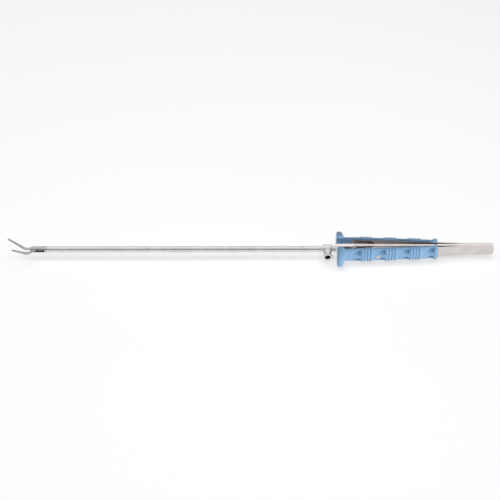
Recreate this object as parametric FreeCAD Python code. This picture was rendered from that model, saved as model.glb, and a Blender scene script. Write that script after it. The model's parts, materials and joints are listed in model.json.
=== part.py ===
"""Laparoscopic grasper with an in-line squeeze handle, laid on its side.

The shaft runs along X: the jaws are at the -X end, the tail of the handle at the +X end.
Y is the direction in which the two handle arms and the jaws open, "near" being -Y and
"far" +Y. Z is up. The origin is on the shaft's axis, at the front face of the flush body.

Squeezing the two sprung arms straightens two short links. They push the slider and the
push rod towards the jaws, and the rod's fork turns the moving jaw about its pivot pin.
Every piece is drawn where it lies with the handle open and the jaws open. The handle is
the same after half a turn about the shaft, so each near piece is a far piece so turned.
"""

import FreeCAD, Part
import math
import os

V = FreeCAD.Vector
ORIGIN, ALONG, OUT, UP = V(0, 0, 0), V(1, 0, 0), V(0, 1, 0), V(0, 0, 1)

# Driving dimensions, in millimetres and degrees.

# Shaft
TUBE_R = 2.5
TUBE_WALL = 0.5
TUBE_FRONT_X = -220.4
ROD_R = 1.0
RUN_GAP = 0.06

# Flush body, its port, and the neck behind it
BODY_R = 3.75
BODY_LENGTH = 7.0
PORT_X = 3.8
PORT_REACH = 9.6
PORT_BARREL_R = 2.9
PORT_RIM_R = 3.9
PORT_RIM_THICK = 1.3
PORT_BORE_R = 2.15
PORT_BORE_DEPTH = 6.0
PORT_CHANNEL_R = 1.0
NECK_R = 2.5
NECK_END_X = 10.6
PLUG_FRONT_X = 5.4
SPIGOT_R = 1.5
SPIGOT_LENGTH = 5.0
SEAL_R = 1.55
SEAL_LENGTH = 2.0

# Centre bar and tail
BAR_HALF_THICK = 0.9
LEAF_HALF_WIDTH = 4.6
BLOCK_HALF_THICK = 1.8
BLOCK_END_X = 24.0
WINDOW_START_X = 24.8
WINDOW_END_X = 43.0
WINDOW_HALF_WIDTH = 3.0
TAIL_END_X = 136.4
TAIL_CORNER_R = 2.0
TAIL_BEVEL = (2.8, 0.5)
RIVET_R = 1.25
RIVET_X = (118.6, 130.2)

# Sprung arms
LEAF_THICK = 1.3
LEAF_GAP = 0.05
LEAF_ROOT_X = 112.4
LEAF_FRONT_X = 13.0
LEAF_SLOPE = 0.072
LEAF_BOW = 0.00023
SEAT_GAP = 0.12
SQUEEZE = 2.2

# Links and slider
LUG_X = 38.0
LUG_PIN_Y = 3.9
LUG_BACK_X = 41.4
LUG_EYE_R = 0.95
LUG_HALF_Z = 2.3
LUG_INNER_Z = 1.3
LINK_LENGTH = 7.2
LINK_HALF_Z = 1.2
LINK_EYE_R = 0.9
LINK_HALF_HEIGHT = 0.6
LINK_LAP = 5.2
LINK_LAP_GAP = 0.03
LINK_PLAY = 0.22
PIN_R = 0.5
PIN_GAP = 0.03
SLIDER_FRONT = 5.2
SLIDER_BACK = 1.3
SLIDER_HALF_THICK = 1.5
SLIDER_HALF_WIDTH = 2.94
SLIDER_SLOT_Z = 1.28
SLIDER_SLOT_DEPTH = 1.25

# Grips: sizes are (half width, height above the leaf's inner face)
GRIP_SETBACK = 0.15
GRIP_SIDE = 1.9
GRIP_START_X = 11.2
HANDLE_START_X = 17.6
SHOULDER = 0.55
FLANGE = ((0.0, 7.6, 9.1), (1.2, 8.7, 10.4), (4.2, 8.6, 10.3),
          (5.4, 7.6, 8.6), (6.2, 6.8, 5.4), (7.6, 6.6, 4.0))
HANDLE = (6.6, 4.5)
HANDLE_FALL = 0.8
RIB = (7.0, 4.9)
COLLAR = (7.1, 4.9)
COLLAR_END = (6.4, 4.2)
RIB_GROUP_X = (30.3, 49.7, 69.1)
RIBS_IN_GROUP = 4
RIB_PITCH = 2.4
RIB_THICK = 1.4
COLLAR_X = 88.6
GRIP_END_X = 91.6
SCOOP_LENGTH = 6.8
SCOOP_R = 2.2
SCOOP_DEPTH = 0.85
SCOOP_Z = 3.4
SCREW_X = 43.9
SCREW_R = 0.9
SCREW_HEAD_R = 1.8
SCREW_HEAD_THICK = 0.8
SCREW_SLOT = (0.5, 0.45)

# Jaws and their drive
PIVOT_X = -230.0
PIVOT_Y = 0.7
PIVOT_R = 0.5
JAW_OPEN = 38.0
BEND_X = -238.2
BEND_R = 2.4
JAW_BEND = 43.0
JAW_REACH = 15.5
JAW_GAP = 0.04
JAW_HALF_Z = 1.1
JAW_SIDE = 0.4
TIP_HALF_Z = 0.75
TIP_LENGTH = 0.6
TIP_END_HALF_Z = 0.5
TOOTH_PITCH = 1.0
TOOTH_DEPTH = 0.32
TOOTH_COUNT = 12
CLEVIS_R = 2.45
CLEVIS_NOSE_R = 1.75
CLEVIS_SHOULDER_X = -230.8
CLEVIS_FRONT_X = -233.6
CLEVIS_SPIGOT_LENGTH = 5.4
CLEVIS_SLOT_HALF = 1.2
CLEVIS_SLOT_BACK_X = -222.2
BRIDGE_X = -231.75
TANG_HALF = 0.55
TANG_R = 1.3
DRIVE_R = 0.35
DRIVE_EYE_R = 0.8
FORK_INNER_Z = 0.62
FORK_OUTER_Z = 1.14
FORK_LOW_Y = -1.65
FORK_HIGH_Y = 0.1
FORK_WEB_X = -227.2
FORK_BACK_X = -224.2

# Worked out from the driving dimensions

TUBE_BORE_R = TUBE_R - TUBE_WALL
HINGE_Y = BAR_HALF_THICK + LEAF_GAP + LEAF_THICK / 2


def leaf_inner_y(x):
    """Distance of a far leaf's inner face from the shaft's middle plane, at x."""
    run = LEAF_ROOT_X - x
    return BAR_HALF_THICK + LEAF_GAP + LEAF_SLOPE * run - LEAF_BOW * run * run


def squeezed_lug_pin():
    """Place of the far lug's pin once its arm has turned through the whole squeeze."""
    turn = math.radians(SQUEEZE)
    dx, dy = LUG_X - LEAF_ROOT_X, LUG_PIN_Y - HINGE_Y
    x = LEAF_ROOT_X + dx * math.cos(turn) - dy * math.sin(turn)
    y = HINGE_Y + dx * math.sin(turn) + dy * math.cos(turn)
    return x, y


def slider_pin_x(lug_x, lug_y):
    """Where the slider's pin sits when a link reaches it from a lug pin at that place."""
    return lug_x - math.sqrt(LINK_LENGTH**2 - lug_y**2)


SLIDER_PIN_X = slider_pin_x(LUG_X, LUG_PIN_Y)
ROD_TRAVEL = SLIDER_PIN_X - slider_pin_x(*squeezed_lug_pin())
LINK_ANGLE = math.degrees(math.asin(LUG_PIN_Y / LINK_LENGTH))
LINK_SWING = LINK_ANGLE - math.degrees(math.asin(squeezed_lug_pin()[1] / LINK_LENGTH)) + SQUEEZE
HALF_OPEN = math.radians(JAW_OPEN / 2)
DRIVE_ARM = ROD_TRAVEL / (2 * math.sin(HALF_OPEN))
DRIVE_X = PIVOT_X + ROD_TRAVEL / 2
DRIVE_X_CLOSED = PIVOT_X - ROD_TRAVEL / 2
DRIVE_Y = PIVOT_Y - DRIVE_ARM * math.cos(HALF_OPEN)
DRIVE_Y_LOWEST = PIVOT_Y - DRIVE_ARM


def box(x0, x1, y0, y1, z0, z1):
    """A box between two corners."""
    return Part.makeBox(x1 - x0, y1 - y0, z1 - z0, V(x0, y0, z0))


def rod_x(radius, x0, x1):
    """A cylinder on the shaft's axis."""
    return Part.makeCylinder(radius, x1 - x0, V(x0, 0, 0), ALONG)


def rod_y(radius, x, y0, y1):
    """A cylinder along Y, at half height."""
    return Part.makeCylinder(radius, y1 - y0, V(x, y0, 0), OUT)


def rod_z(radius, x, y, z0, z1):
    """A cylinder along Z."""
    return Part.makeCylinder(radius, z1 - z0, V(x, y, z0), UP)


def plate(points, z0, z1):
    """A flat plate: an outline of (x, y) points, from z0 to z1."""
    wire = Part.makePolygon([V(x, y, z0) for x, y in points + points[:1]])
    return Part.Face(wire).extrude(V(0, 0, z1 - z0))


def turned(profile, axis=ALONG):
    """A solid of revolution: an outline of (distance along the axis, radius) points."""
    side = UP if axis == ALONG else ALONG
    wire = Part.makePolygon([axis * along + side * radius for along, radius in profile + profile[:1]])
    return Part.Face(wire).revolve(ORIGIN, axis, 360)


def half_turn(shape):
    """The same piece on the near side."""
    return shape.rotated(ORIGIN, ALONG, 180)


def crown(half_width, side, height):
    """The arcs of a crowned top: radius of its shoulders, and height of the top arc's centre."""
    shoulder = SHOULDER * (height - side)
    flat, rise = half_width - shoulder, height - shoulder
    return shoulder, (flat**2 + side**2 - rise**2) / (2 * (side - rise))


def d_outline(base, half_width, side, height):
    """A D across the X axis: flat at the base, straight low sides, crowned towards +Y."""
    shoulder, centre = crown(half_width, side, height)
    turn = math.atan2(side - centre, half_width - shoulder)
    edges = [Part.LineSegment(base + UP * half_width, base - UP * half_width)]
    ends = []
    for up in (-UP, UP):
        middle = base + up * (half_width - shoulder) + OUT * side
        arc = [middle + up * (shoulder * math.cos(angle)) + OUT * (shoulder * math.sin(angle))
               for angle in (0, turn / 2, turn)]
        edges += [Part.LineSegment(base + up * half_width, arc[0]), Part.Arc(*arc)]
        ends.append(arc[2])
    edges.append(Part.Arc(ends[0], base + OUT * height, ends[1]))
    return Part.Wire(Part.__sortEdges__([edge.toShape() for edge in edges]))


# Shaft, flush body and neck


def shaft_tube():
    """The long tube, with the side hole that lets the flush channel in."""
    tube = rod_x(TUBE_R, TUBE_FRONT_X, BODY_LENGTH)
    tube = tube.cut(rod_x(TUBE_BORE_R, TUBE_FRONT_X, BODY_LENGTH))
    return tube.cut(rod_y(PORT_CHANNEL_R, PORT_X, -TUBE_R, 0))


def flush_body():
    """The turned collar round the tube's end that carries the port."""
    edge = 0.6
    body = turned([(0, 0), (0, BODY_R - edge), (edge, BODY_R), (BODY_LENGTH - edge, BODY_R),
                   (BODY_LENGTH, BODY_R - edge), (BODY_LENGTH, 0)])
    body = body.cut(rod_x(TUBE_R, 0, BODY_LENGTH))
    return body.cut(rod_y(PORT_BARREL_R, PORT_X, -BODY_R, 0))


def flush_port():
    """The female connector: a barrel with a locking rim, a blind bore and a narrow channel."""
    edge = 0.25
    waist_y = -PORT_REACH + PORT_RIM_THICK
    ring_y = -PORT_REACH + 2.4
    port = turned([(0, 0), (0, PORT_BARREL_R), (ring_y + 0.5, PORT_BARREL_R),
                   (ring_y, PORT_BARREL_R - 0.4), (waist_y + 0.3, PORT_BARREL_R - 0.4), (waist_y, PORT_RIM_R),
                   (-PORT_REACH + edge, PORT_RIM_R), (-PORT_REACH, PORT_RIM_R - edge), (-PORT_REACH, 0)], OUT)
    port = port.translated(V(PORT_X, 0, 0)).cut(rod_x(TUBE_R, -1, BODY_LENGTH + 1))
    port = port.cut(rod_y(PORT_BORE_R, PORT_X, -PORT_REACH, -PORT_REACH + PORT_BORE_DEPTH))
    return port.cut(rod_y(PORT_CHANNEL_R, PORT_X, -PORT_REACH, 0))


def neck():
    """The joint between tube and centre bar, bored for the rod and recessed for its seal."""
    edge = 0.3
    spigot_end = NECK_END_X + SPIGOT_LENGTH
    body = turned([(PLUG_FRONT_X, 0), (PLUG_FRONT_X, TUBE_BORE_R), (BODY_LENGTH, TUBE_BORE_R),
                   (BODY_LENGTH, NECK_R - edge), (BODY_LENGTH + edge, NECK_R), (NECK_END_X, NECK_R),
                   (NECK_END_X, SPIGOT_R), (spigot_end, SPIGOT_R), (spigot_end, 0)])
    body = body.cut(rod_x(SEAL_R, PLUG_FRONT_X, PLUG_FRONT_X + SEAL_LENGTH))
    return body.cut(rod_x(ROD_R + RUN_GAP, PLUG_FRONT_X, spigot_end))


def rod_seal():
    """The lip seal that keeps gas and rinse water out of the handle."""
    lip_x = PLUG_FRONT_X + 1.1
    back_x = PLUG_FRONT_X + SEAL_LENGTH
    return turned([(PLUG_FRONT_X, ROD_R + 0.03), (lip_x, ROD_R + 0.25), (PLUG_FRONT_X, SEAL_R - 0.15),
                   (PLUG_FRONT_X, SEAL_R), (back_x, SEAL_R), (back_x, ROD_R + 0.03)])


# Centre bar and tail


def tail_strip(start_x, y0, y1):
    """A flat strip from start_x to the rounded end of the tail, between two Y planes."""
    strip = box(start_x, TAIL_END_X, y0, y1, -LEAF_HALF_WIDTH, LEAF_HALF_WIDTH)
    corners = [edge for edge in strip.Edges
               if all(v.X > TAIL_END_X - 0.01 for v in edge.Vertexes)
               and abs(edge.Vertexes[0].Y - edge.Vertexes[1].Y) > 0.01]
    return strip.makeFillet(TAIL_CORNER_R, corners)


def rivet_shanks(y0, y1):
    """The tail's two rivets between two Y planes."""
    return [rod_y(RIVET_R, x, y0, y1) for x in RIVET_X]


def centre_bar():
    """The flat bar between the arms: a thick front block, a window for the slider, the tail."""
    bar = tail_strip(NECK_END_X + 1, -BAR_HALF_THICK, BAR_HALF_THICK)
    block = box(NECK_END_X, BLOCK_END_X, -BLOCK_HALF_THICK, BLOCK_HALF_THICK, -LEAF_HALF_WIDTH, LEAF_HALF_WIDTH)
    lengthwise = [edge for edge in block.Edges if abs(edge.Vertexes[0].X - edge.Vertexes[1].X) > 1]
    bar = bar.fuse(block.makeChamfer(0.5, lengthwise))
    window = box(WINDOW_START_X, WINDOW_END_X, -2, 2, -WINDOW_HALF_WIDTH, WINDOW_HALF_WIDTH)
    corners = [edge for edge in window.Edges if abs(edge.Vertexes[0].Y - edge.Vertexes[1].Y) > 1]
    bar = bar.cut(window.makeFillet(0.8, corners))
    bar = bar.cut(rod_x(SPIGOT_R, NECK_END_X, NECK_END_X + SPIGOT_LENGTH))
    bar = bar.cut(rod_x(ROD_R + RUN_GAP, NECK_END_X, WINDOW_START_X + 1))
    return bar.cut(rivet_shanks(-2, 2))


def far_spring_tail():
    """The clamped end of the far spring, with a round seat for the arm's root."""
    y0, y1 = BAR_HALF_THICK, BAR_HALF_THICK + LEAF_GAP + LEAF_THICK
    bevel_length, bevel_drop = TAIL_BEVEL
    strip = tail_strip(LEAF_ROOT_X, y0, y1)
    seat = rod_z(LEAF_THICK / 2 + SEAT_GAP, LEAF_ROOT_X, HINGE_Y, -LEAF_HALF_WIDTH, LEAF_HALF_WIDTH)
    bevel = plate([(TAIL_END_X - bevel_length, y1), (TAIL_END_X, y1 - bevel_drop), (TAIL_END_X, y1 + 1)],
                  -LEAF_HALF_WIDTH, LEAF_HALF_WIDTH)
    return strip.cut(seat).cut(bevel).cut(rivet_shanks(0, 4))


def tail_rivets():
    """The two flush rivets through the bar and both springs."""
    reach = BAR_HALF_THICK + LEAF_GAP + LEAF_THICK
    return Part.makeCompound(rivet_shanks(-reach, reach))


# Sprung arms, drawn on the far side


def leaf_line(offset, z):
    """Three points of the bowed line that lies offset outwards of the leaf's inner face."""
    stations = (LEAF_ROOT_X, (LEAF_ROOT_X + LEAF_FRONT_X) / 2, LEAF_FRONT_X)
    return [V(x, leaf_inner_y(x) + offset, z) for x in stations]


def leaf_blank():
    """The bowed spring from its round root to its front end, before it is drilled."""
    inner = leaf_line(0, -LEAF_HALF_WIDTH)
    outer = leaf_line(LEAF_THICK, -LEAF_HALF_WIDTH)
    root = V(LEAF_ROOT_X + LEAF_THICK / 2, HINGE_Y, -LEAF_HALF_WIDTH)
    side = Part.Wire([
        Part.Arc(*inner).toShape(),
        Part.LineSegment(inner[2], outer[2]).toShape(),
        Part.Arc(outer[2], outer[1], outer[0]).toShape(),
        Part.Arc(outer[0], root, inner[0]).toShape(),
    ])
    return Part.Face(side).extrude(UP * (2 * LEAF_HALF_WIDTH))


def far_arm_spring():
    """The free length of the far spring, drilled for the grip's screw."""
    y = leaf_inner_y(SCREW_X)
    return leaf_blank().cut(rod_y(SCREW_R, SCREW_X, y - 1, y + LEAF_THICK + 1))


def grip_outline(x, size):
    """The grip's D at x, following the bow of the leaf."""
    half_width, height = size
    base = V(x, leaf_inner_y(x) + GRIP_SETBACK, 0)
    return d_outline(base, half_width, GRIP_SIDE, height - GRIP_SETBACK)


def grip_loft(stations):
    """A solid through the grip's outlines at (x, size) stations, straight from one to the next."""
    return Part.makeLoft([grip_outline(x, size) for x, size in stations], True, True)


def grip_rib(x):
    """A flat-topped rib across the grip."""
    return Part.Face(grip_outline(x, RIB)).extrude(ALONG * RIB_THICK)


def grip_flange():
    """The guard at the front that the fingers rest against, running out into the grip."""
    return grip_loft([(GRIP_START_X + step, (half_width, height)) for step, half_width, height in FLANGE])


def grip_bay(start_x, end_x):
    """The grip from one group of ribs to the next, rising towards +X."""
    fall = leaf_inner_y(start_x) - leaf_inner_y(end_x) - HANDLE_FALL
    return Part.Face(grip_outline(end_x, HANDLE)).extrude(V(start_x - end_x, fall, 0))


def grip_handle():
    """The long part of the grip: it drops at the front of each group of ribs and rises to the next."""
    ends = (HANDLE_START_X,) + RIB_GROUP_X + (COLLAR_X + 1.5,)
    bays = [grip_bay(start, end) for start, end in zip(ends, ends[1:])]
    base = leaf_line(GRIP_SETBACK, -HANDLE[0] - 1)
    low_back, low_front = base[0] - OUT * base[0].y, base[2] - OUT * base[2].y
    below = Part.Face(Part.Wire([
        Part.Arc(*base).toShape(),
        Part.LineSegment(base[2], low_front).toShape(),
        Part.LineSegment(low_front, low_back).toShape(),
        Part.LineSegment(low_back, base[0]).toShape(),
    ]))
    return bays[0].fuse(bays[1:]).cut(below.extrude(UP * 2 * (HANDLE[0] + 1)))


def grip_collar():
    """The rolled rim at the grip's rear end."""
    return grip_loft([(COLLAR_X, COLLAR), (GRIP_END_X - 0.7, COLLAR), (GRIP_END_X, COLLAR_END)])


def handle_top_y(x, z=0.0):
    """Distance of the handle's crown from the shaft's middle plane, at x and the height z."""
    half_width, height = HANDLE
    start_x, end_x = HANDLE_START_X, RIB_GROUP_X[0]
    for next_x in RIB_GROUP_X[1:] + (COLLAR_X + 1.5,):
        if x > end_x:
            start_x, end_x = end_x, next_x
    share = (end_x - x) / (end_x - start_x)
    foot = leaf_inner_y(end_x) + (leaf_inner_y(start_x) - leaf_inner_y(end_x) - HANDLE_FALL) * share
    centre = crown(half_width, GRIP_SIDE, height - GRIP_SETBACK)[1] + GRIP_SETBACK
    return foot + centre + math.sqrt((height - centre) ** 2 - z * z)


def scoop(end_x, z):
    """A teardrop for a finger's tip: it deepens towards +X and ends in a blunt wall."""
    start_x = end_x - SCOOP_LENGTH
    start = V(start_x, handle_top_y(start_x, z), z)
    end = V(end_x, handle_top_y(end_x, z) + SCOOP_R - SCOOP_DEPTH, z)
    return Part.makeCone(0.05, SCOOP_R, (end - start).Length, start, end - start)


def far_grip():
    """The moulded grip that wraps the leaf's outer face and edges."""
    ribs = [grip_rib(x + i * RIB_PITCH) for x in RIB_GROUP_X for i in range(RIBS_IN_GROUP)]
    scoops = [scoop(x, z) for x in RIB_GROUP_X + (COLLAR_X,) for z in (-SCOOP_Z, SCOOP_Z)]
    grip = grip_handle().cut(scoops).fuse([grip_flange(), grip_collar()] + ribs)
    grip = grip.cut(leaf_blank())
    top_y = handle_top_y(SCREW_X)
    grip = grip.cut(rod_y(SCREW_R, SCREW_X, leaf_inner_y(SCREW_X), top_y + 1))
    return grip.cut(rod_y(SCREW_HEAD_R, SCREW_X, top_y - SCREW_HEAD_THICK, top_y + 2))


def far_grip_screw():
    """The slotted screw that holds the grip to its leaf."""
    slot_width, slot_depth = SCREW_SLOT
    tip_y = leaf_inner_y(SCREW_X)
    top_y = handle_top_y(SCREW_X)
    head = rod_y(SCREW_HEAD_R, SCREW_X, top_y - SCREW_HEAD_THICK, top_y)
    rim = [edge for edge in head.Edges if all(v.Y > top_y - 0.01 for v in edge.Vertexes)]
    screw = head.makeChamfer(0.25, rim).fuse(rod_y(SCREW_R, SCREW_X, tip_y, top_y - SCREW_HEAD_THICK))
    slot = box(SCREW_X - 3, SCREW_X + 3, top_y - slot_depth, top_y + 1, -slot_width / 2, slot_width / 2)
    return screw.cut(slot).removeSplitter()


# Lugs, links and slider


def far_lug():
    """The small fork on the leaf's inner face that the link is pinned in."""
    fork_back_x = LUG_X + LINK_EYE_R + 0.25
    top_y = leaf_inner_y(LUG_X) + LEAF_THICK / 2
    eye = rod_z(LUG_EYE_R, LUG_X, LUG_PIN_Y, -LUG_HALF_Z, LUG_HALF_Z)
    foot = plate([(LUG_X - LUG_EYE_R, LUG_PIN_Y), (LUG_X + LUG_EYE_R, LUG_PIN_Y), (LUG_BACK_X, LUG_PIN_Y + 0.4),
                  (LUG_BACK_X, top_y), (LUG_X - LUG_EYE_R, top_y)], -LUG_HALF_Z, LUG_HALF_Z)
    lug = eye.fuse(foot).cut(box(LUG_X - 2, fork_back_x, 0, top_y, -LUG_INNER_Z, LUG_INNER_Z))
    return lug.cut(leaf_blank()).cut(rod_z(PIN_R, LUG_X, LUG_PIN_Y, -3, 3))


def far_lug_pin():
    """The pin that the far link turns on."""
    return rod_z(PIN_R, LUG_X, LUG_PIN_Y, -LUG_HALF_Z, LUG_HALF_Z)


def far_link():
    """A short link, halved where it laps the other one, with a little play in its far eye."""
    eye = rod_z(LINK_EYE_R, 0, 0, -LINK_HALF_Z, LINK_HALF_Z)
    far_eye = rod_z(LINK_EYE_R, -LINK_LENGTH, 0, -LINK_HALF_Z, LINK_HALF_Z)
    bar = box(-LINK_LENGTH, 0, -LINK_HALF_HEIGHT, LINK_HALF_HEIGHT, -LINK_HALF_Z, LINK_HALF_Z)
    link = eye.fuse([bar, far_eye]).removeSplitter()
    link = link.cut(box(-LINK_LENGTH - 2, LINK_LAP - LINK_LENGTH, -2, 2, -LINK_HALF_Z, LINK_LAP_GAP))
    hole = PIN_R + PIN_GAP
    link = link.cut(rod_z(hole, 0, 0, -2, 2))
    ends = [rod_z(hole, -LINK_LENGTH + shift, 0, -2, 2) for shift in (0, LINK_PLAY)]
    slot = ends[0].fuse([ends[1], box(-LINK_LENGTH, -LINK_LENGTH + LINK_PLAY, -hole, hole, -2, 2)])
    link = link.cut(slot)
    return link.rotated(ORIGIN, UP, LINK_ANGLE).translated(V(LUG_X, LUG_PIN_Y, 0))


def slider():
    """The block that runs in the bar's window and takes both links and the rod."""
    front_x, back_x = SLIDER_PIN_X - SLIDER_FRONT, SLIDER_PIN_X + SLIDER_BACK
    block = box(front_x, back_x, -SLIDER_HALF_THICK, SLIDER_HALF_THICK, -SLIDER_HALF_WIDTH, SLIDER_HALF_WIDTH)
    lengthwise = [edge for edge in block.Edges if abs(edge.Vertexes[0].X - edge.Vertexes[1].X) > 1]
    block = block.makeChamfer(0.4, lengthwise)
    block = block.cut(box(SLIDER_PIN_X - SLIDER_SLOT_DEPTH, back_x, -2, 2, -SLIDER_SLOT_Z, SLIDER_SLOT_Z))
    block = block.cut(rod_x(ROD_R, front_x, front_x + 2.6))
    return block.cut(rod_z(PIN_R, SLIDER_PIN_X, 0, -4, 4))


def slider_pin():
    """The pin through the slider that both links push on."""
    return rod_z(PIN_R, SLIDER_PIN_X, 0, -SLIDER_HALF_WIDTH, SLIDER_HALF_WIDTH)


def push_rod():
    """The rod inside the shaft, from the slider to the fork behind the jaws."""
    return rod_x(ROD_R, FORK_WEB_X + 0.9, SLIDER_PIN_X - SLIDER_FRONT + 2.6)


def rod_fork():
    """The fork at the rod's front, whose crosswise slots turn the moving jaw's drive pin."""
    front_x = DRIVE_X - DRIVE_R - 0.45
    hole = DRIVE_R + PIN_GAP
    web = box(FORK_WEB_X, FORK_BACK_X, FORK_LOW_Y, ROD_R, -FORK_OUTER_Z, FORK_OUTER_Z)
    cheeks = box(front_x, FORK_WEB_X, FORK_LOW_Y, FORK_HIGH_Y, -FORK_OUTER_Z, FORK_OUTER_Z)
    fork = web.fuse(cheeks).cut(box(front_x, FORK_WEB_X, -3, 3, -FORK_INNER_Z, FORK_INNER_Z))
    low, high = DRIVE_Y_LOWEST - 0.04, DRIVE_Y + 0.04
    slot = box(DRIVE_X - hole, DRIVE_X + hole, low, high, -2, 2)
    ends = [rod_z(hole, DRIVE_X, y, -2, 2) for y in (low, high)]
    return fork.cut(slot.fuse(ends)).cut(rod_x(ROD_R, FORK_WEB_X + 0.9, FORK_BACK_X))


# Jaws, drawn closed on the far side of their meeting plane


def jaw_face(x):
    """The section of a jaw at x: flat towards the other jaw, round behind."""
    half_flat = math.sqrt(JAW_HALF_Z**2 - JAW_SIDE**2)
    low, high = V(x, JAW_GAP, -half_flat), V(x, JAW_GAP, half_flat)
    back = V(x, JAW_GAP + JAW_SIDE + JAW_HALF_Z, 0)
    return Part.Face(Part.Wire([Part.Arc(low, back, high).toShape(), Part.LineSegment(high, low).toShape()]))


def working_part():
    """The toothed end of a jaw, from the bend to the bevelled tip, before it is bent up."""
    tip_x = -JAW_REACH
    body = turned([(0, 0), (0, JAW_HALF_Z), (tip_x + TIP_LENGTH, TIP_HALF_Z), (tip_x, TIP_END_HALF_Z), (tip_x, 0)])
    body = body.translated(OUT * (JAW_GAP + JAW_SIDE)).cut(box(tip_x - 1, 1, -3, JAW_GAP, -3, 3))
    half_pitch = 0.36 * TOOTH_PITCH
    first_x = tip_x + 1.5
    grooves = [plate([(x - half_pitch, 0), (x, JAW_GAP + TOOTH_DEPTH), (x + half_pitch, 0)], -2, 2)
               for x in (first_x + i * TOOTH_PITCH for i in range(TOOTH_COUNT))]
    return body.cut(grooves)


def far_jaw_bar():
    """Shank, bend and working part of the far jaw."""
    section = jaw_face(BEND_X + BEND_R / 2)
    shank = section.extrude(V(BRIDGE_X - BEND_X - BEND_R / 2, 0, 0))
    bend_centre = V(BEND_X + BEND_R / 2, 0, BEND_R)
    bend = section.revolve(bend_centre, OUT, JAW_BEND)
    turn = math.radians(JAW_BEND)
    end = bend_centre + V(-BEND_R * math.sin(turn), 0, -BEND_R * math.cos(turn))
    working = working_part().rotated(ORIGIN, OUT, JAW_BEND).translated(end)
    return shank.fuse([bend, working])


def fixed_jaw():
    """The far jaw in one piece with the clevis that plugs into the tube."""
    back_x = TUBE_FRONT_X + CLEVIS_SPIGOT_LENGTH
    clevis = turned([(back_x, 0), (back_x, TUBE_BORE_R), (TUBE_FRONT_X, TUBE_BORE_R), (TUBE_FRONT_X, CLEVIS_R),
                     (CLEVIS_SHOULDER_X, CLEVIS_R), (CLEVIS_FRONT_X, CLEVIS_NOSE_R), (CLEVIS_FRONT_X, 0)])
    half = CLEVIS_SLOT_HALF
    clevis = clevis.cut(box(BRIDGE_X, CLEVIS_SLOT_BACK_X, -3, 3, -half, half))
    clevis = clevis.cut(box(CLEVIS_FRONT_X, BRIDGE_X, -3, JAW_GAP, -half, half))
    clevis = clevis.cut(rod_x(ROD_R + RUN_GAP, CLEVIS_SLOT_BACK_X - 1, back_x))
    clevis = clevis.cut(rod_z(PIVOT_R, PIVOT_X, PIVOT_Y, -3, 3))
    return clevis.fuse(far_jaw_bar())


def jaw_pivot_pin():
    """The pin through both ears of the clevis that the moving jaw turns on."""
    reach = math.sqrt(CLEVIS_R**2 - (PIVOT_Y + PIVOT_R) ** 2)
    return rod_z(PIVOT_R, PIVOT_X, PIVOT_Y, -reach, reach)


def open_jaw(shape):
    """Turns a piece of the closed moving jaw out to where it lies at rest."""
    return shape.rotated(V(PIVOT_X, PIVOT_Y, 0), UP, JAW_OPEN)


def moving_jaw():
    """The near jaw: the far one's mirror image on a tang with a hole for each pin."""
    low_y = -JAW_GAP
    bar = far_jaw_bar().mirror(ORIGIN, OUT)
    bar = bar.cut(box(BRIDGE_X - 0.5, BRIDGE_X + 1, -3, 0, -3, 3))
    tang = plate([(PIVOT_X - 1.15, PIVOT_Y - 0.5), (BRIDGE_X + 0.15, low_y), (BRIDGE_X - 1.7, low_y),
                  (BRIDGE_X - 1.7, -1.3), (PIVOT_X - 1.0, -1.5), (DRIVE_X_CLOSED + 0.3, DRIVE_Y - 0.7),
                  (PIVOT_X + 1.1, PIVOT_Y - 0.6)], -TANG_HALF, TANG_HALF)
    tang = tang.fuse([rod_z(TANG_R, PIVOT_X, PIVOT_Y, -TANG_HALF, TANG_HALF),
                      rod_z(DRIVE_EYE_R, DRIVE_X_CLOSED, DRIVE_Y, -TANG_HALF, TANG_HALF)])
    jaw = bar.fuse(tang)
    jaw = jaw.cut(rod_z(PIVOT_R + PIN_GAP, PIVOT_X, PIVOT_Y, -3, 3))
    return open_jaw(jaw.cut(rod_z(DRIVE_R, DRIVE_X_CLOSED, DRIVE_Y, -3, 3)))


def jaw_drive_pin():
    """The pin pressed into the tang that runs in the rod fork's slots."""
    return open_jaw(rod_z(DRIVE_R, DRIVE_X_CLOSED, DRIVE_Y, -FORK_OUTER_Z, FORK_OUTER_Z))


PIECES = {
    "shaft_tube": shaft_tube,
    "flush_body": flush_body,
    "flush_port": flush_port,
    "neck": neck,
    "rod_seal": rod_seal,
    "centre_bar": centre_bar,
    "tail_rivets": tail_rivets,
    "fixed_jaw": fixed_jaw,
    "jaw_pivot_pin": jaw_pivot_pin,
    "moving_jaw": moving_jaw,
    "jaw_drive_pin": jaw_drive_pin,
    "push_rod": push_rod,
    "rod_fork": rod_fork,
    "slider": slider,
    "slider_pin": slider_pin,
}

PAIRED_PIECES = {
    "spring_tail": far_spring_tail,
    "arm_spring": far_arm_spring,
    "grip": far_grip,
    "grip_screw": far_grip_screw,
    "lug": far_lug,
    "lug_pin": far_lug_pin,
    "link": far_link,
}


def main():
    """Makes every piece and writes one file for each."""
    os.makedirs("parts", exist_ok=True)
    shapes = {name: make() for name, make in PIECES.items()}
    for name, make in PAIRED_PIECES.items():
        shapes["far_" + name] = make()
        shapes["near_" + name] = half_turn(shapes["far_" + name])
    for name, shape in shapes.items():
        shape.exportStep(f"parts/{name}.step")
        print(f"{name:18s} solids {len(shape.Solids)} valid {shape.isValid()} volume {shape.Volume:9.2f}")
    print(f"rod travel {ROD_TRAVEL:.4f}  link swing {LINK_SWING:.3f}  drive arm {DRIVE_ARM:.3f}")
    print(f"slider pin x {SLIDER_PIN_X:.4f}  hinge y {HINGE_Y:.3f}")


if __name__ == "__main__":
    main()
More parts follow.
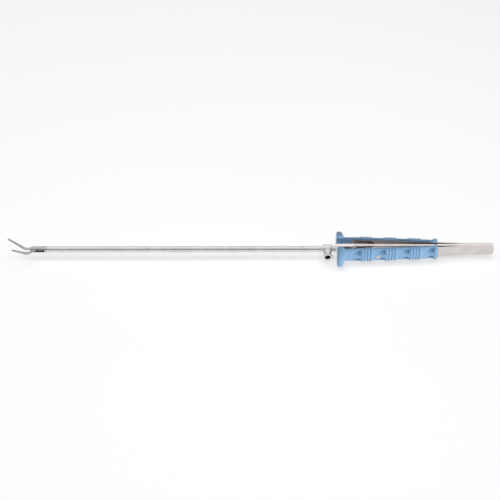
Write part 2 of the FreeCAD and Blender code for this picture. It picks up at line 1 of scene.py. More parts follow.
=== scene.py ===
"""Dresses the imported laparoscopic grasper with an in-line squeeze handle.

Sizes are in millimetres and are turned into metres only where a mesh is written. X runs along
the shaft with the jaws at -X, Y is the way the arms and the jaws open with the near side at -Y,
and Z is up. A near piece is its far piece after half a turn about the shaft.
"""

import json
import logging
import math
from dataclasses import dataclass
from enum import Enum
from typing import Sequence

import bmesh
import bpy
from mathutils import Matrix, Vector

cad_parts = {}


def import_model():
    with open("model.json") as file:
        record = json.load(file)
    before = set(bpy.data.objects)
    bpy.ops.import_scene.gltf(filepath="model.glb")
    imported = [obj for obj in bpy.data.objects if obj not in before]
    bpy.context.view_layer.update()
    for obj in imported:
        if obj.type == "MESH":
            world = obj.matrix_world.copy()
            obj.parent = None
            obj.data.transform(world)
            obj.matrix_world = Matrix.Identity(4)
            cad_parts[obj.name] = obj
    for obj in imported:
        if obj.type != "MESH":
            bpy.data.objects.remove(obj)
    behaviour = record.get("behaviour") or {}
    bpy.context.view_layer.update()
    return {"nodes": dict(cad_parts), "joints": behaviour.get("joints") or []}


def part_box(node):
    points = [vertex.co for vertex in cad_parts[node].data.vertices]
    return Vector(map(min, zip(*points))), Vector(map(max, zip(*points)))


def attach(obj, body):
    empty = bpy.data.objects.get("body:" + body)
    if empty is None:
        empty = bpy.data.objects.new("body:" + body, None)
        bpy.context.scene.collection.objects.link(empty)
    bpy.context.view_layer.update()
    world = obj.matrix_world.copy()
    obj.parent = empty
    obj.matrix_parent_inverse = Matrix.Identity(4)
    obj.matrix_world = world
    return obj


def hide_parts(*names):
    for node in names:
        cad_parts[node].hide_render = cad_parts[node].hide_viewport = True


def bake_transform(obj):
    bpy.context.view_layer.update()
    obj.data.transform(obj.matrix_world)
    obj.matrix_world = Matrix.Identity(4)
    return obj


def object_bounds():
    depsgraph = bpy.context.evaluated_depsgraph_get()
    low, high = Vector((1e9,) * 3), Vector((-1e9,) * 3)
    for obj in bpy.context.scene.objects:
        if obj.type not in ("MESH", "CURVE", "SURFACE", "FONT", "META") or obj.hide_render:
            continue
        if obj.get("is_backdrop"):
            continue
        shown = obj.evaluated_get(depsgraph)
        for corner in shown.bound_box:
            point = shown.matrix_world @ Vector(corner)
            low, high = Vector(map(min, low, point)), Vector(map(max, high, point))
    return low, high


LOG = logging.getLogger("grasper")
MM = 0.001
CREASE = math.radians(32)
WELD = 1e-4
EDGE_CHORDS = 2
ROUND = 96
SMALL_ROUND = 48
WHITE = (1.0, 1.0, 1.0, 1.0)
QUARTER = math.pi / 2
Point = tuple[float, float]
Corner = tuple[float, float, float]
Colour = tuple[int, int, int]
Piece = bpy.types.Object
Socket = bpy.types.NodeSocket


class Side(Enum):
    """The two sides of the handle, with the sign of their Y."""

    FAR = 1
    NEAR = -1

    @property
    def word(self) -> str:
        """The side's name, as it stands in the names of nodes."""
        return self.name.lower()

    def turn(self) -> Matrix:
        """The turn about the shaft that takes a far piece to this side."""
        return Matrix.Rotation(0 if self is Side.FAR else math.pi, 4, "X")


class Grain(Enum):
    """Which way a metal was ground or drawn, as the stretch of its pattern along X, Y and Z."""

    ALONG = (0.05, 1.0, 1.0)
    AROUND = (1.0, 0.06, 0.06)
    UPRIGHT = (1.0, 1.0, 0.05)
    EVEN = (1.0, 1.0, 1.0)


class Axis(Enum):
    """Which way a turned piece points, as the degrees and the line of the turn from X to it."""

    SHAFT = (0.0, "Z")
    NEAR = (-90.0, "Z")
    FAR = (90.0, "Z")
    UP = (-90.0, "Y")

    def turn(self) -> Matrix:
        """The turn from X to this way."""
        return Matrix.Rotation(math.radians(self.value[0]), 3, self.value[1])


class Work(Enum):
    """What a tool does to the piece that it works on."""

    JOIN = "UNION"
    CUT = "DIFFERENCE"


class Through(Enum):
    """The axis that a plate's thickness runs along, as its place in X, Y, Z."""

    X = 0
    Y = 1
    Z = 2


class Kind(Enum):
    """What a mix node mixes."""

    COLOURS = "RGBA"
    VECTORS = "VECTOR"


# Figures


def span(node: str) -> tuple[Vector, Vector]:
    """Lowest and highest corner of a node of the frame, in millimetres."""
    low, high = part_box(node)
    return low / MM, high / MM


def linear(red: int, green: int, blue: int) -> tuple[float, float, float, float]:
    """Turns a colour as it shows on a screen into the one that a shader takes.

    Args:
        red, green, blue: the three screen values, from 0 to 255.

    Returns:
        The shader's colour, opaque.
    """
    def decode(value: int) -> float:
        """One value without the screen's curve."""
        share = value / 255
        return share / 12.92 if share <= 0.04045 else ((share + 0.055) / 1.055) ** 2.4

    return decode(red), decode(green), decode(blue), 1.0


def ease(stations: Sequence[Corner], x: float) -> Point:
    """Reads a smooth curve through stations that never overshoots them.

    Args:
        stations: (x, first value, second value), in order of x.
        x: where the curve is read.

    Returns:
        Both values at x.
    """
    xs = [station[0] for station in stations]
    if x <= xs[0]:
        return stations[0][1:]
    if x >= xs[-1]:
        return stations[-1][1:]
    i = max(k for k, station_x in enumerate(xs) if station_x <= x)
    step = xs[i + 1] - xs[i]
    t = (x - xs[i]) / step

    def slope(k: int, value: int) -> float:
        """The curve's slope at a station: level at the ends and where the values turn back.

        Args:
            k: the station.
            value: which of the two values, 1 or 2.

        Returns:
            The slope.
        """
        if k in (0, len(xs) - 1):
            return 0.0
        before = (stations[k][value] - stations[k - 1][value]) / (xs[k] - xs[k - 1])
        after = (stations[k + 1][value] - stations[k][value]) / (xs[k + 1] - xs[k])
        return 2 * before * after / (before + after) if before * after > 0 else 0.0

    def read(value: int) -> float:
        """Reads one of the two values at x.

        Args:
            value: which of them, 1 or 2.

        Returns:
            The value.
        """
        a, b = stations[i][value], stations[i + 1][value]
        rise = (3 - 2 * t) * t * t
        lift = slope(i, value) * t * (1 - t) ** 2 - slope(i + 1, value) * t * t * (1 - t)
        return a + (b - a) * rise + lift * step

    return read(1), read(2)


def smooth(start: float, end: float, x: float) -> float:
    """Rises smoothly from 0 at start to 1 at end."""
    t = min(max((x - start) / (end - start), 0.0), 1.0)
    return t * t * (3 - 2 * t)


def spread(start: float, end: float, step: float) -> list[float]:
    """Evenly spaced values from start to end, about a step apart."""
    count = max(1, round(abs(end - start) / step))
    return [start + (end - start) * i / count for i in range(count + 1)]


def rounded(corners: Sequence[Corner], steps: int = 4) -> list[Point]:
    """Rounds the corners of a closed outline.

    Args:
        corners: (first, second, radius) of each corner, in order round the outline.
        steps: how many chords each rounding has.

    Returns:
        The outline's points.
    """
    points: list[Point] = []
    count = len(corners)
    for i, (a, b, radius) in enumerate(corners):
        here = Vector((a, b))
        if radius <= 0:
            points.append((a, b))
            continue
        back = (Vector(corners[i - 1][:2]) - here).normalized()
        ahead = (Vector(corners[(i + 1) % count][:2]) - here).normalized()
        half = math.acos(max(-1.0, min(1.0, back.dot(ahead)))) / 2
        reach = radius / math.tan(half)
        centre = here + (back + ahead).normalized() * radius / math.sin(half)
        start, end = here + back * reach - centre, here + ahead * reach - centre
        for k in range(steps + 1):
            share = k / steps
            arm = (start * (1 - share) + end * share).normalized() * radius
            points.append(tuple(centre + arm))
    return points


def oblong(low: Point, high: Point, radius: float = 0.0, steps: int = 4) -> list[Point]:
    """The outline of a rectangle between two corners, all four rounded alike."""
    (a, b), (c, d) = low, high
    return rounded([(a, b, radius), (c, b, radius), (c, d, radius), (a, d, radius)], steps)


# Meshes


def place(name: str, data: bpy.types.Mesh) -> Piece:
    """Puts a mesh into the scene at the origin, smooth apart from its creases.

    Args:
        name: the new object's name.
        data: its mesh, in metres.

    Returns:
        The object.
    """
    data.shade_smooth()
    data.set_sharp_from_angle(angle=CREASE)
    piece = bpy.data.objects.new(name, data)
    bpy.context.scene.collection.objects.link(piece)
    return piece


def keep(mesh: bmesh.types.BMesh, name: str) -> Piece:
    """Closes seams, turns faces outwards and keeps the mesh as an object of that name.

    Args:
        mesh: the mesh in millimetres. It is used up.
        name: the object's name.

    Returns:
        The object, at the origin, in metres.
    """
    bmesh.ops.remove_doubles(mesh, verts=mesh.verts, dist=WELD)
    bmesh.ops.dissolve_degenerate(mesh, edges=mesh.edges, dist=WELD)
    bmesh.ops.recalc_face_normals(mesh, faces=mesh.faces)
    bmesh.ops.scale(mesh, vec=(MM, MM, MM), verts=mesh.verts)
    data = bpy.data.meshes.new(name)
    mesh.to_mesh(data)
    mesh.free()
    return place(name, data)


def skin(name: str, rings: Sequence[Sequence[Vector]], closed: bool = False,
         at: Sequence[float] = (0, 0, 0)) -> Piece:
    """Stretches a skin over rings of equal length.

    Args:
        name: the object's name.
        rings: closed rings of points, each in the same order.
        closed: whether the last ring joins the first; otherwise both ends get a cap.
        at: how far the finished skin is moved, in millimetres.

    Returns:
        The object.
    """
    mesh = bmesh.new()
    rows = [[mesh.verts.new(point) for point in ring] for ring in rings]
    pairs = list(zip(rows, rows[1:])) + ([(rows[-1], rows[0])] if closed else [])
    for row, following in pairs:
        for i, vertex in enumerate(row):
            mesh.faces.new((vertex, row[i - 1], following[i - 1], following[i]))
    if not closed:
        mesh.faces.new(rows[0])
        mesh.faces.new(rows[-1][::-1])
    bmesh.ops.translate(mesh, vec=at, verts=mesh.verts)
    return keep(mesh, name)


def turned(name: str, outline: Sequence[Point], axis: Axis, steps: int,
           at: Sequence[float] = (0, 0, 0)) -> Piece:
    """Turns a closed outline of (along, radius) points about an axis.

    Args:
        name: the object's name.
        outline: the outline's points; those at radius 0 close on the axis.
        axis: which way the turning axis points.
        steps: how many chords go round.
        at: a point that the axis passes, in millimetres.

    Returns:
        The object.
    """
    to_space, rings = axis.turn(), []
    for k in range(steps):
        angle = math.tau * k / steps
        rings.append([to_space @ Vector((along, radius * math.cos(angle), radius * math.sin(angle)))
                      for along, radius in outline])
    return skin(name, rings, closed=True, at=at)


def plate(name: str, outline: Sequence[Point], along: Through, low: float, high: float) -> Piece:
    """Stretches a flat outline into a plate.

    Args:
        name: the object's name.
        outline: the outline's points, along the two axes that are left, in the order X, Y, Z.
        along: the axis that the plate's thickness runs along.
        low, high: where the plate starts and ends on it.

    Returns:
        The object.
    """
    spot = along.value
    return skin(name, [[Vector((*point[:spot], height, *point[spot:])) for point in outline]
                       for height in (low, high)])


def applied(piece: Piece) -> Piece:
    """Makes the result of a piece's modifiers its plain mesh, and takes the modifiers away.

    Args:
        piece: the piece, with live modifiers.

    Returns:
        The same piece.
    """
    graph = bpy.context.evaluated_depsgraph_get()
    result = bpy.data.meshes.new_from_object(piece.evaluated_get(graph))
    piece.modifiers.clear()
    old = piece.data
    piece.data = result
    result.name = piece.name
    bpy.data.meshes.remove(old)
    result.shade_smooth()
    result.set_sharp_from_angle(angle=CREASE)
    return piece


def carved(piece: Piece, tools: Sequence[tuple[Work, Piece]], edge: float = 0.0) -> Piece:
    """Cuts tools from a piece or joins them to it, then breaks its sharp edges.

    Args:
        piece: the piece to work on.
        tools: what each tool does, and the tool; the tools are used up.
        edge: width of the broken edges in millimetres, or 0 for none.

    Returns:
        The same piece with its new mesh.
    """
    for work, tool in tools:
        cut = piece.modifiers.new("cut", "BOOLEAN")
        cut.operation = work.value
        cut.object = tool
        cut.solver = "EXACT"
    if edge > 0:
        bevel = piece.modifiers.new("edge", "BEVEL")
        bevel.width = edge * MM
        bevel.segments = EDGE_CHORDS
        bevel.limit_method = "ANGLE"
        bevel.angle_limit = CREASE
        bevel.miter_outer = "MITER_ARC"
    applied(piece)
    for _, tool in tools:
        bpy.data.objects.remove(tool)
    return piece


def joined(name: str, pieces: Sequence[Piece]) -> Piece:
    """Makes one object of several.

    Args:
        name: the new object's name.
        pieces: the objects, which are used up.

    Returns:
        The new object.
    """
    mesh = bmesh.new()
    for piece in pieces:
        mesh.from_mesh(piece.data)
        bpy.data.objects.remove(piece)
    data = bpy.data.meshes.new(name)
    mesh.to_mesh(data)
    mesh.free()
    return place(name, data)


def moved(piece: Piece, matrix: Matrix) -> Piece:
    """Moves a piece within its mesh.

    Args:
        piece: the piece.
        matrix: the move, with its shift in metres. It may mirror.

    Returns:
        The same piece.
    """
    piece.data.transform(matrix)
    if matrix.is_negative:
        piece.data.flip_normals()
    return piece


# Node trees


class Nodes:
    """A node tree that is built a node at a time."""

    def __init__(self, tree: bpy.types.NodeTree) -> None:
        """Takes the tree to build on."""
        self.tree = tree

    def fill(self, socket: Socket, value: object) -> None:
        """Links an input to the socket that it is given, or sets it to a plain value.

        Args:
            socket: the input.
            value: a socket or a plain value.
        """
        if isinstance(value, Socket):
            self.tree.links.new(value, socket)
        else:
            socket.default_value = value

    def add(self, kind: str, inputs: dict[str | int, object] | None = None,
            **settings: object) -> bpy.types.Node:
        """Adds a node, sets its properties and fills its inputs.

        Args:
            kind: the node's type.
            inputs: for each input's name or number, a socket to link or a plain value.
            settings: the node's own properties.

        Returns:
            The node.
        """
        node = self.tree.nodes.new(kind)
        for title, value in settings.items():
            setattr(node, title, value)
        for title, value in (inputs or {}).items():
            self.fill(node.inputs[title], value)
        return node

    def maths(self, operation: str, first: object, second: object = 0.0) -> Socket:
        """The result of a sum on two values or sockets."""
        return self.add("ShaderNodeMath", {0: first, 1: second}, operation=operation).outputs[0]

    def mapped(self, value: Socket, old: Point, new: Point, eased: bool = False) -> Socket:
        """Carries a value from one range to another.

        Args:
            value: the value.
            old: the range that it has.
            new: the range that it gets.
            eased: whether it leaves and reaches the ends smoothly.

        Returns:
            The new value.
        """
        inputs = {"Value": value, "From Min": old[0], "From Max": old[1],
                  "To Min": new[0], "To Max": new[1]}
        curve = "SMOOTHSTEP" if eased else "LINEAR"
        return self.add("ShaderNodeMapRange", inputs, interpolation_type=curve).outputs["Result"]

    def mixed(self, kind: Kind, share: Socket, first: object, second: object) -> Socket:
        """Mixes two colours or two vectors.

        Args:
            kind: which of them.
            share: how much of the second is in the mix.
            first, second: sockets or plain values.

        Returns:
            The mix.
        """
        mix = self.add("ShaderNodeMix", {"Factor": share}, data_type=kind.value)
        ends = [socket for socket in mix.inputs if socket.type == kind.value][-2:]
        for end, value in zip(ends, (first, second)):
            self.fill(end, value)
        return next(socket for socket in mix.outputs if socket.type == kind.value)


class Shader(Nodes):
    """A material's node tree, with short calls for the few nodes that the finishes use."""

    CLOUDS = (0.3, 0.7)

    def __init__(self, name: str) -> None:
        """Starts an empty material around one shader.

        Args:
            name: the material's name.
        """
        self.material = bpy.data.materials.new(name)
        self.material.use_nodes = True
        super().__init__(self.material.node_tree)
        self.surface = self.tree.nodes["Principled BSDF"]
        self.place = self.add("ShaderNodeTexCoord").outputs["Object"]

    def stretched(self, scale: Corner) -> Socket:
        """Object coordinates, stretched."""
        return self.add("ShaderNodeMapping", {"Vector": self.place, "Scale": scale}).outputs["Vector"]

    def noise(self, vector: Socket, scale: float, detail: float, roughness: float = 0.55) -> Socket:
        """A cloudy pattern with that many blotches to the metre."""
        inputs = {"Vector": vector, "Scale": scale, "Detail": detail, "Roughness": roughness}
        return self.add("ShaderNodeTexNoise", inputs).outputs["Fac"]

    def between(self, pattern: Socket, low: float, high: float) -> Socket:
        """A cloudy pattern spread between two values."""
        return self.mapped(pattern, self.CLOUDS, (low, high))

    def tinted(self, pattern: Socket, first: Colour, second: Colour) -> Socket:
        """Two screen colours mixed by a cloudy pattern."""
        return self.mixed(Kind.COLOURS, self.between(pattern, 0.0, 1.0), linear(*first), linear(*second))

    def stored(self, name: str) -> Socket:
        """A value that the mesh stores at its points under that name, and 0 where it has none."""
        return self.add("ShaderNodeAttribute", attribute_name=name).outputs["Fac"]

    def bump(self, pattern: Socket, height: float, strength: float, under: Socket | None = None) -> Socket:
        """Raises the surface by a pattern.

        Args:
            pattern: where the surface is high.
            height: how high, in millimetres.
            strength: how much of it shows.
            under: a coarser raised surface that this one lies on.

        Returns:
            The raised surface's normal.
        """
        inputs = {"Height": pattern, "Distance": height * MM, "Strength": strength}
        if under is not None:
            inputs["Normal"] = under
        return self.add("ShaderNodeBump", inputs).outputs["Normal"]

    def set(self, **values: object) -> None:
        """Sets the shader's sockets, whose names are written with _ for a space."""
        for name, value in values.items():
            self.fill(self.surface.inputs[name.replace("_", " ")], value)


class GeometryTree(Nodes):
    """A Geometry Nodes tree with named inputs."""

    def __init__(self, name: str, **inputs: str) -> None:
        """Starts a tree with one geometry in and out, and further inputs.

        Args:
            name: the tree's name.
            inputs: the kind of each input, by its name with _ for a space.
        """
        super().__init__(bpy.data.node_groups.new(name, "GeometryNodeTree"))
        for way in ("INPUT", "OUTPUT"):
            self.tree.interface.new_socket("Geometry", in_out=way, socket_type="NodeSocketGeometry")
        for title, kind in inputs.items():
            self.tree.interface.new_socket(title.replace("_", " "), in_out="INPUT",
                                           socket_type=f"NodeSocket{kind}")
        self.given = self.add("NodeGroupInput").outputs
        self.result = self.add("NodeGroupOutput").inputs[0]

    def copies(self, points: Socket, pattern: str, scale: object = (1.0, 1.0, 1.0)) -> None:
        """Ends the tree: copies of an object at points, made real, with the material set.

        Args:
            points: where the copies go.
            pattern: the input that holds the object.
            scale: size of the copies.
        """
        piece = self.add("GeometryNodeObjectInfo", {"Object": self.given[pattern]})
        row = self.add("GeometryNodeInstanceOnPoints", {
            "Points": points, "Instance": piece.outputs["Geometry"], "Scale": scale})
        real = self.add("GeometryNodeRealizeInstances", {"Geometry": row.outputs[0]})
        painted = self.add("GeometryNodeSetMaterial", {"Geometry": real.outputs[0],
                                                       "Material": self.given["Material"]})
        self.fill(self.result, painted.outputs[0])

    def run(self, name: str, **values: object) -> Piece:
        """Runs the tree on an empty mesh and keeps what it makes.

        Args:
            name: the new object's name.
            values: a value for each of the tree's named inputs, its name with _ for a space.

        Returns:
            A plain mesh object.
        """
        piece = bpy.data.objects.new(name, bpy.data.meshes.new(name))
        bpy.context.scene.collection.objects.link(piece)
        modifier = piece.modifiers.new(name, "NODES")
        modifier.node_group = self.tree
        for item in self.tree.interface.items_tree:
            title = item.name.replace(" ", "_")
            if item.item_type == "SOCKET" and item.in_out == "INPUT" and title in values:
                modifier[item.identifier] = values[title]
        return applied(piece)


def row_of_pieces() -> GeometryTree:
    """A tree that sets copies of a piece in a straight row, each a little smaller than the last.

    Returns:
        The tree, whose inputs are Piece, Count, Start, Step, End Scale and Material.
    """
    tree = GeometryTree("row_of_pieces", Piece="Object", Count="Int", Start="Vector", Step="Vector",
                        End_Scale="Vector", Material="Material")
    line = tree.add("GeometryNodeMeshLine", {
        "Count": tree.given["Count"], "Start Location": tree.given["Start"], "Offset": tree.given["Step"]})
    last = tree.maths("SUBTRACT", tree.given["Count"], 1.0)
    index = tree.add("GeometryNodeInputIndex").outputs[0]
    share = tree.maths("DIVIDE", index, tree.maths("MAXIMUM", last, 1.0))
    scale = tree.mixed(Kind.VECTORS, share, (1.0, 1.0, 1.0), tree.given["End Scale"])
    tree.copies(line.outputs[0], "Piece", scale)
    return tree


def ribs_on_a_bow() -> GeometryTree:
    """A tree that sets groups of ribs along a grip whose leaf is bowed.

    Returns:
        The tree, whose inputs are the rib, the counts and pitches, and the bow's figures.
    """
    tree = GeometryTree("ribs_on_a_bow", Rib="Object", Groups="Int", Ribs="Int", Material="Material",
                        First_X="Float", Group_Pitch="Float", Rib_Pitch="Float", Root_X="Float",
                        Slope="Float", Bow="Float")
    given, maths = tree.given, tree.maths
    line = tree.add("GeometryNodeMeshLine", {"Count": maths("MULTIPLY", given["Groups"], given["Ribs"])})
    index = tree.add("GeometryNodeInputIndex").outputs[0]
    group = maths("FLOOR", maths("DIVIDE", index, given["Ribs"]))
    place_in_group = maths("MODULO", index, given["Ribs"])
    x = maths("ADD", given["First X"], maths("MULTIPLY", group, given["Group Pitch"]))
    x = maths("ADD", x, maths("MULTIPLY", place_in_group, given["Rib Pitch"]))
    run = maths("SUBTRACT", given["Root X"], x)
    drop = maths("MULTIPLY", given["Bow"], maths("MULTIPLY", run, run))
    y = maths("SUBTRACT", maths("MULTIPLY", given["Slope"], run), drop)
    where = tree.add("ShaderNodeCombineXYZ", {"X": x, "Y": y})
    points = tree.add("GeometryNodeSetPosition", {"Geometry": line.outputs[0],
                                                  "Position": where.outputs[0]})
    tree.copies(points.outputs[0], "Rib")
    return tree


# Finishes


@dataclass(frozen=True)
class SteelFinish:
    """Bare stainless steel: its colours, its grain and how sharply it mirrors."""

    name: str
    light: Colour
    dark: Colour
    rough: Point
    grain: Grain = Grain.ALONG
    lines_per_metre: float = 9000.0
    line_height: float = 0.004
    clouds_per_metre: float = 160.0
    finer: float = 3.0

    def material(self) -> bpy.types.Material:
        """Builds the material: fine grinding lines over faint clouds.

        Returns:
            The material.
        """
        shader = Shader(self.name)
        ground = shader.stretched(self.grain.value)
        lines = shader.noise(ground, self.lines_per_metre, 4.0, 0.65)
        clouds = shader.noise(shader.place, self.clouds_per_metre, 4.0)
        fine = shader.noise(ground, self.lines_per_metre * self.finer, 2.0)
        coarse = shader.bump(lines, self.line_height, 0.5)
        shader.set(Metallic=1.0, Base_Color=shader.tinted(clouds, self.light, self.dark),
                   Roughness=shader.between(lines, *self.rough),
                   Normal=shader.bump(fine, self.line_height * 0.4, 0.35, coarse))
        return shader.material


@dataclass(frozen=True)
class PlasticFinish:
    """Moulded plastic with a satin skin, faint flow clouds and a fine spark texture.

    A stored mesh attribute is 1 where a finger dent is deepest, and there the plastic is painted darker, as
    painted shade in the dent.
    """

    name: str
    colour: Colour
    deep: Colour
    # Painted shade: the plastic's colour where a finger dent is deepest.
    hollow: Colour
    rough: Point = (0.24, 0.34)
    flow: Corner = (0.5, 1.0, 1.0)
    clouds_per_metre: float = 90.0
    grains_per_metre: float = 4200.0
    grain_height: float = 0.008
    finer: float = 2.7
    light_depth: Corner = (0.4, 0.6, 0.8)

    def material(self) -> bpy.types.Material:
        """Builds the material: clouds that follow the flow, under two sizes of grain.

        Returns:
            The material.
        """
        shader = Shader(self.name)
        clouds = shader.noise(shader.stretched(self.flow), self.clouds_per_metre, 5.0)
        grains = shader.noise(shader.place, self.grains_per_metre, 2.0)
        fine = shader.noise(shader.place, self.grains_per_metre * self.finer, 2.0)
        # Painted shade: the plastic darkens where the stored dent mask is high.
        colour = shader.mixed(Kind.COLOURS, shader.stored("hollow"),
                              shader.tinted(clouds, self.colour, self.deep), linear(*self.hollow))
        coarse = shader.bump(grains, self.grain_height, 0.3)
        shader.set(Base_Color=colour, Roughness=shader.between(clouds, *self.rough),
                   Normal=shader.bump(fine, self.grain_height * 0.5, 0.3, coarse), Specular_IOR_Level=0.5,
                   Subsurface_Weight=0.04, Subsurface_Radius=[depth * MM for depth in self.light_depth],
                   Coat_Weight=0.25, Coat_Roughness=0.16)
        return shader.material


@dataclass(frozen=True)
class RubberFinish:
    """Matt black seal rubber."""

    name: str
    colour: Colour
    worn: Colour
    rough: Point = (0.6, 0.8)
    clouds_per_metre: float = 600.0

    def material(self) -> bpy.types.Material:
        """Builds the material: cloudy in colour, gloss and height.

        Returns:
            The material.
        """
        shader = Shader(self.name)
        clouds = shader.noise(shader.place, self.clouds_per_metre, 4.0)
        shader.set(Base_Color=shader.tinted(clouds, self.colour, self.worn),
                   Roughness=shader.between(clouds, *self.rough), Normal=shader.bump(clouds, 0.02, 0.4))
        return shader.material


@dataclass(frozen=True)
class Finishes:
    """The finishes of the whole instrument, each under the name of its slot."""

    shaft_steel: bpy.types.Material
    bright_steel: bpy.types.Material
    bar_steel: bpy.types.Material
    spring_steel: bpy.types.Material
    jaw_steel: bpy.types.Material
    inner_steel: bpy.types.Material
    grip_plastic: bpy.types.Material
    seal_rubber: bpy.types.Material

    @classmethod
    def mixed_up(cls) -> "Finishes":
        """Makes every finish once.

        Returns:
            The set of finishes.
        """
        recipes = (
            SteelFinish("shaft_steel", (222, 222, 224), (206, 206, 209), (0.13, 0.22)),
            SteelFinish("bright_steel", (225, 222, 220), (213, 210, 208), (0.26, 0.38), Grain.AROUND),
            # bar_steel is lighter than the other steels: a painted highlight for the bright top edge of the
            # bar.
            SteelFinish("bar_steel", (240, 233, 229), (228, 221, 217), (0.24, 0.36)),
            SteelFinish("spring_steel", (222, 216, 214), (208, 202, 200), (0.26, 0.4), Grain.UPRIGHT, 6000.0),
            # jaw_steel is a darker grey than the other steels: painted shade on the small jaws; its higher
            # roughness is the jaws' own.
            SteelFinish("jaw_steel", (192, 190, 190), (172, 170, 170), (0.24, 0.38), Grain.ALONG, 7000.0),
            # inner_steel is much darker than the other steels: painted shade of the gaps that the mechanism
            # shows through.
            SteelFinish("inner_steel", (112, 108, 106), (88, 84, 82), (0.32, 0.5), Grain.EVEN, 4000.0),
            # The grip plastic's third colour is painted shade for the deepest part of each finger dent.
            PlasticFinish("grip_plastic", (134, 175, 211), (126, 167, 204), (90, 130, 168)),
            RubberFinish("seal_rubber", (34, 33, 33), (46, 44, 44)),
        )
        return cls(*(recipe.material() for recipe in recipes))


# Sub-assemblies


@dataclass
class SubAssembly:
    """What every sub-assembly has: the finishes of its pieces."""

    finishes: Finishes

    def dress(self, piece: Piece, slot: str, body: str = "", nodes: Sequence[str] = ()) -> None:
        """Gives a piece its finish and its body, and lets it stand for nodes of the frame.

        Args:
            piece: the finished piece.
            slot: the record's slot, which is also the finish's name.
            body: the body that it rides on, or none, which leaves it unattached.
            nodes: the nodes that it replaces.
        """
        piece.data.materials.clear()
        piece.data.materials.append(getattr(self.finishes, slot))
        for polygon in piece.data.polygons:
            polygon.material_index = 0
        if nodes:
            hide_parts(*nodes)
        if body:
            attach(piece, body)
        LOG.info("%s: %d faces on %s in %s", piece.name, len(piece.data.polygons), body or "two bodies", slot)


@dataclass(frozen=True)
class Bow:
    """The bowed line of a leaf's inner face, as its distance from the shaft's middle plane."""

    root_x: float = 112.4
    root_y: float = 0.95
    slope: float = 0.072
    bow: float = 0.00023
    thick: float = 1.3
    half_width: float = 4.6
    front_x: float = 13.0

    def inner_y(self, x: float) -> float:
        """The inner face's distance at x; behind the root it is level."""
        run = max(self.root_x - x, 0.0)
        return self.root_y + self.slope * run - self.bow * run * run


@dataclass
class ShaftTube(SubAssembly):
    """The long tube with broken edges at its mouth."""

    wall: float = 0.5
    edge: float = 0.12
    chords: int = 128

    def build(self) -> None:
        """Turns the tube from its frame node's size."""
        low, high = span("shaft_tube")
        outer, inner = high.z, high.z - self.wall
        outline = rounded([(low.x, inner, self.edge), (low.x, outer, self.edge), (high.x, outer, 0),
                           (high.x, inner, 0)], steps=3)
        tube = turned("outer_tube", outline, Axis.SHAFT, self.chords)
        self.dress(tube, "shaft_steel", "shaft", ["shaft_tube"])


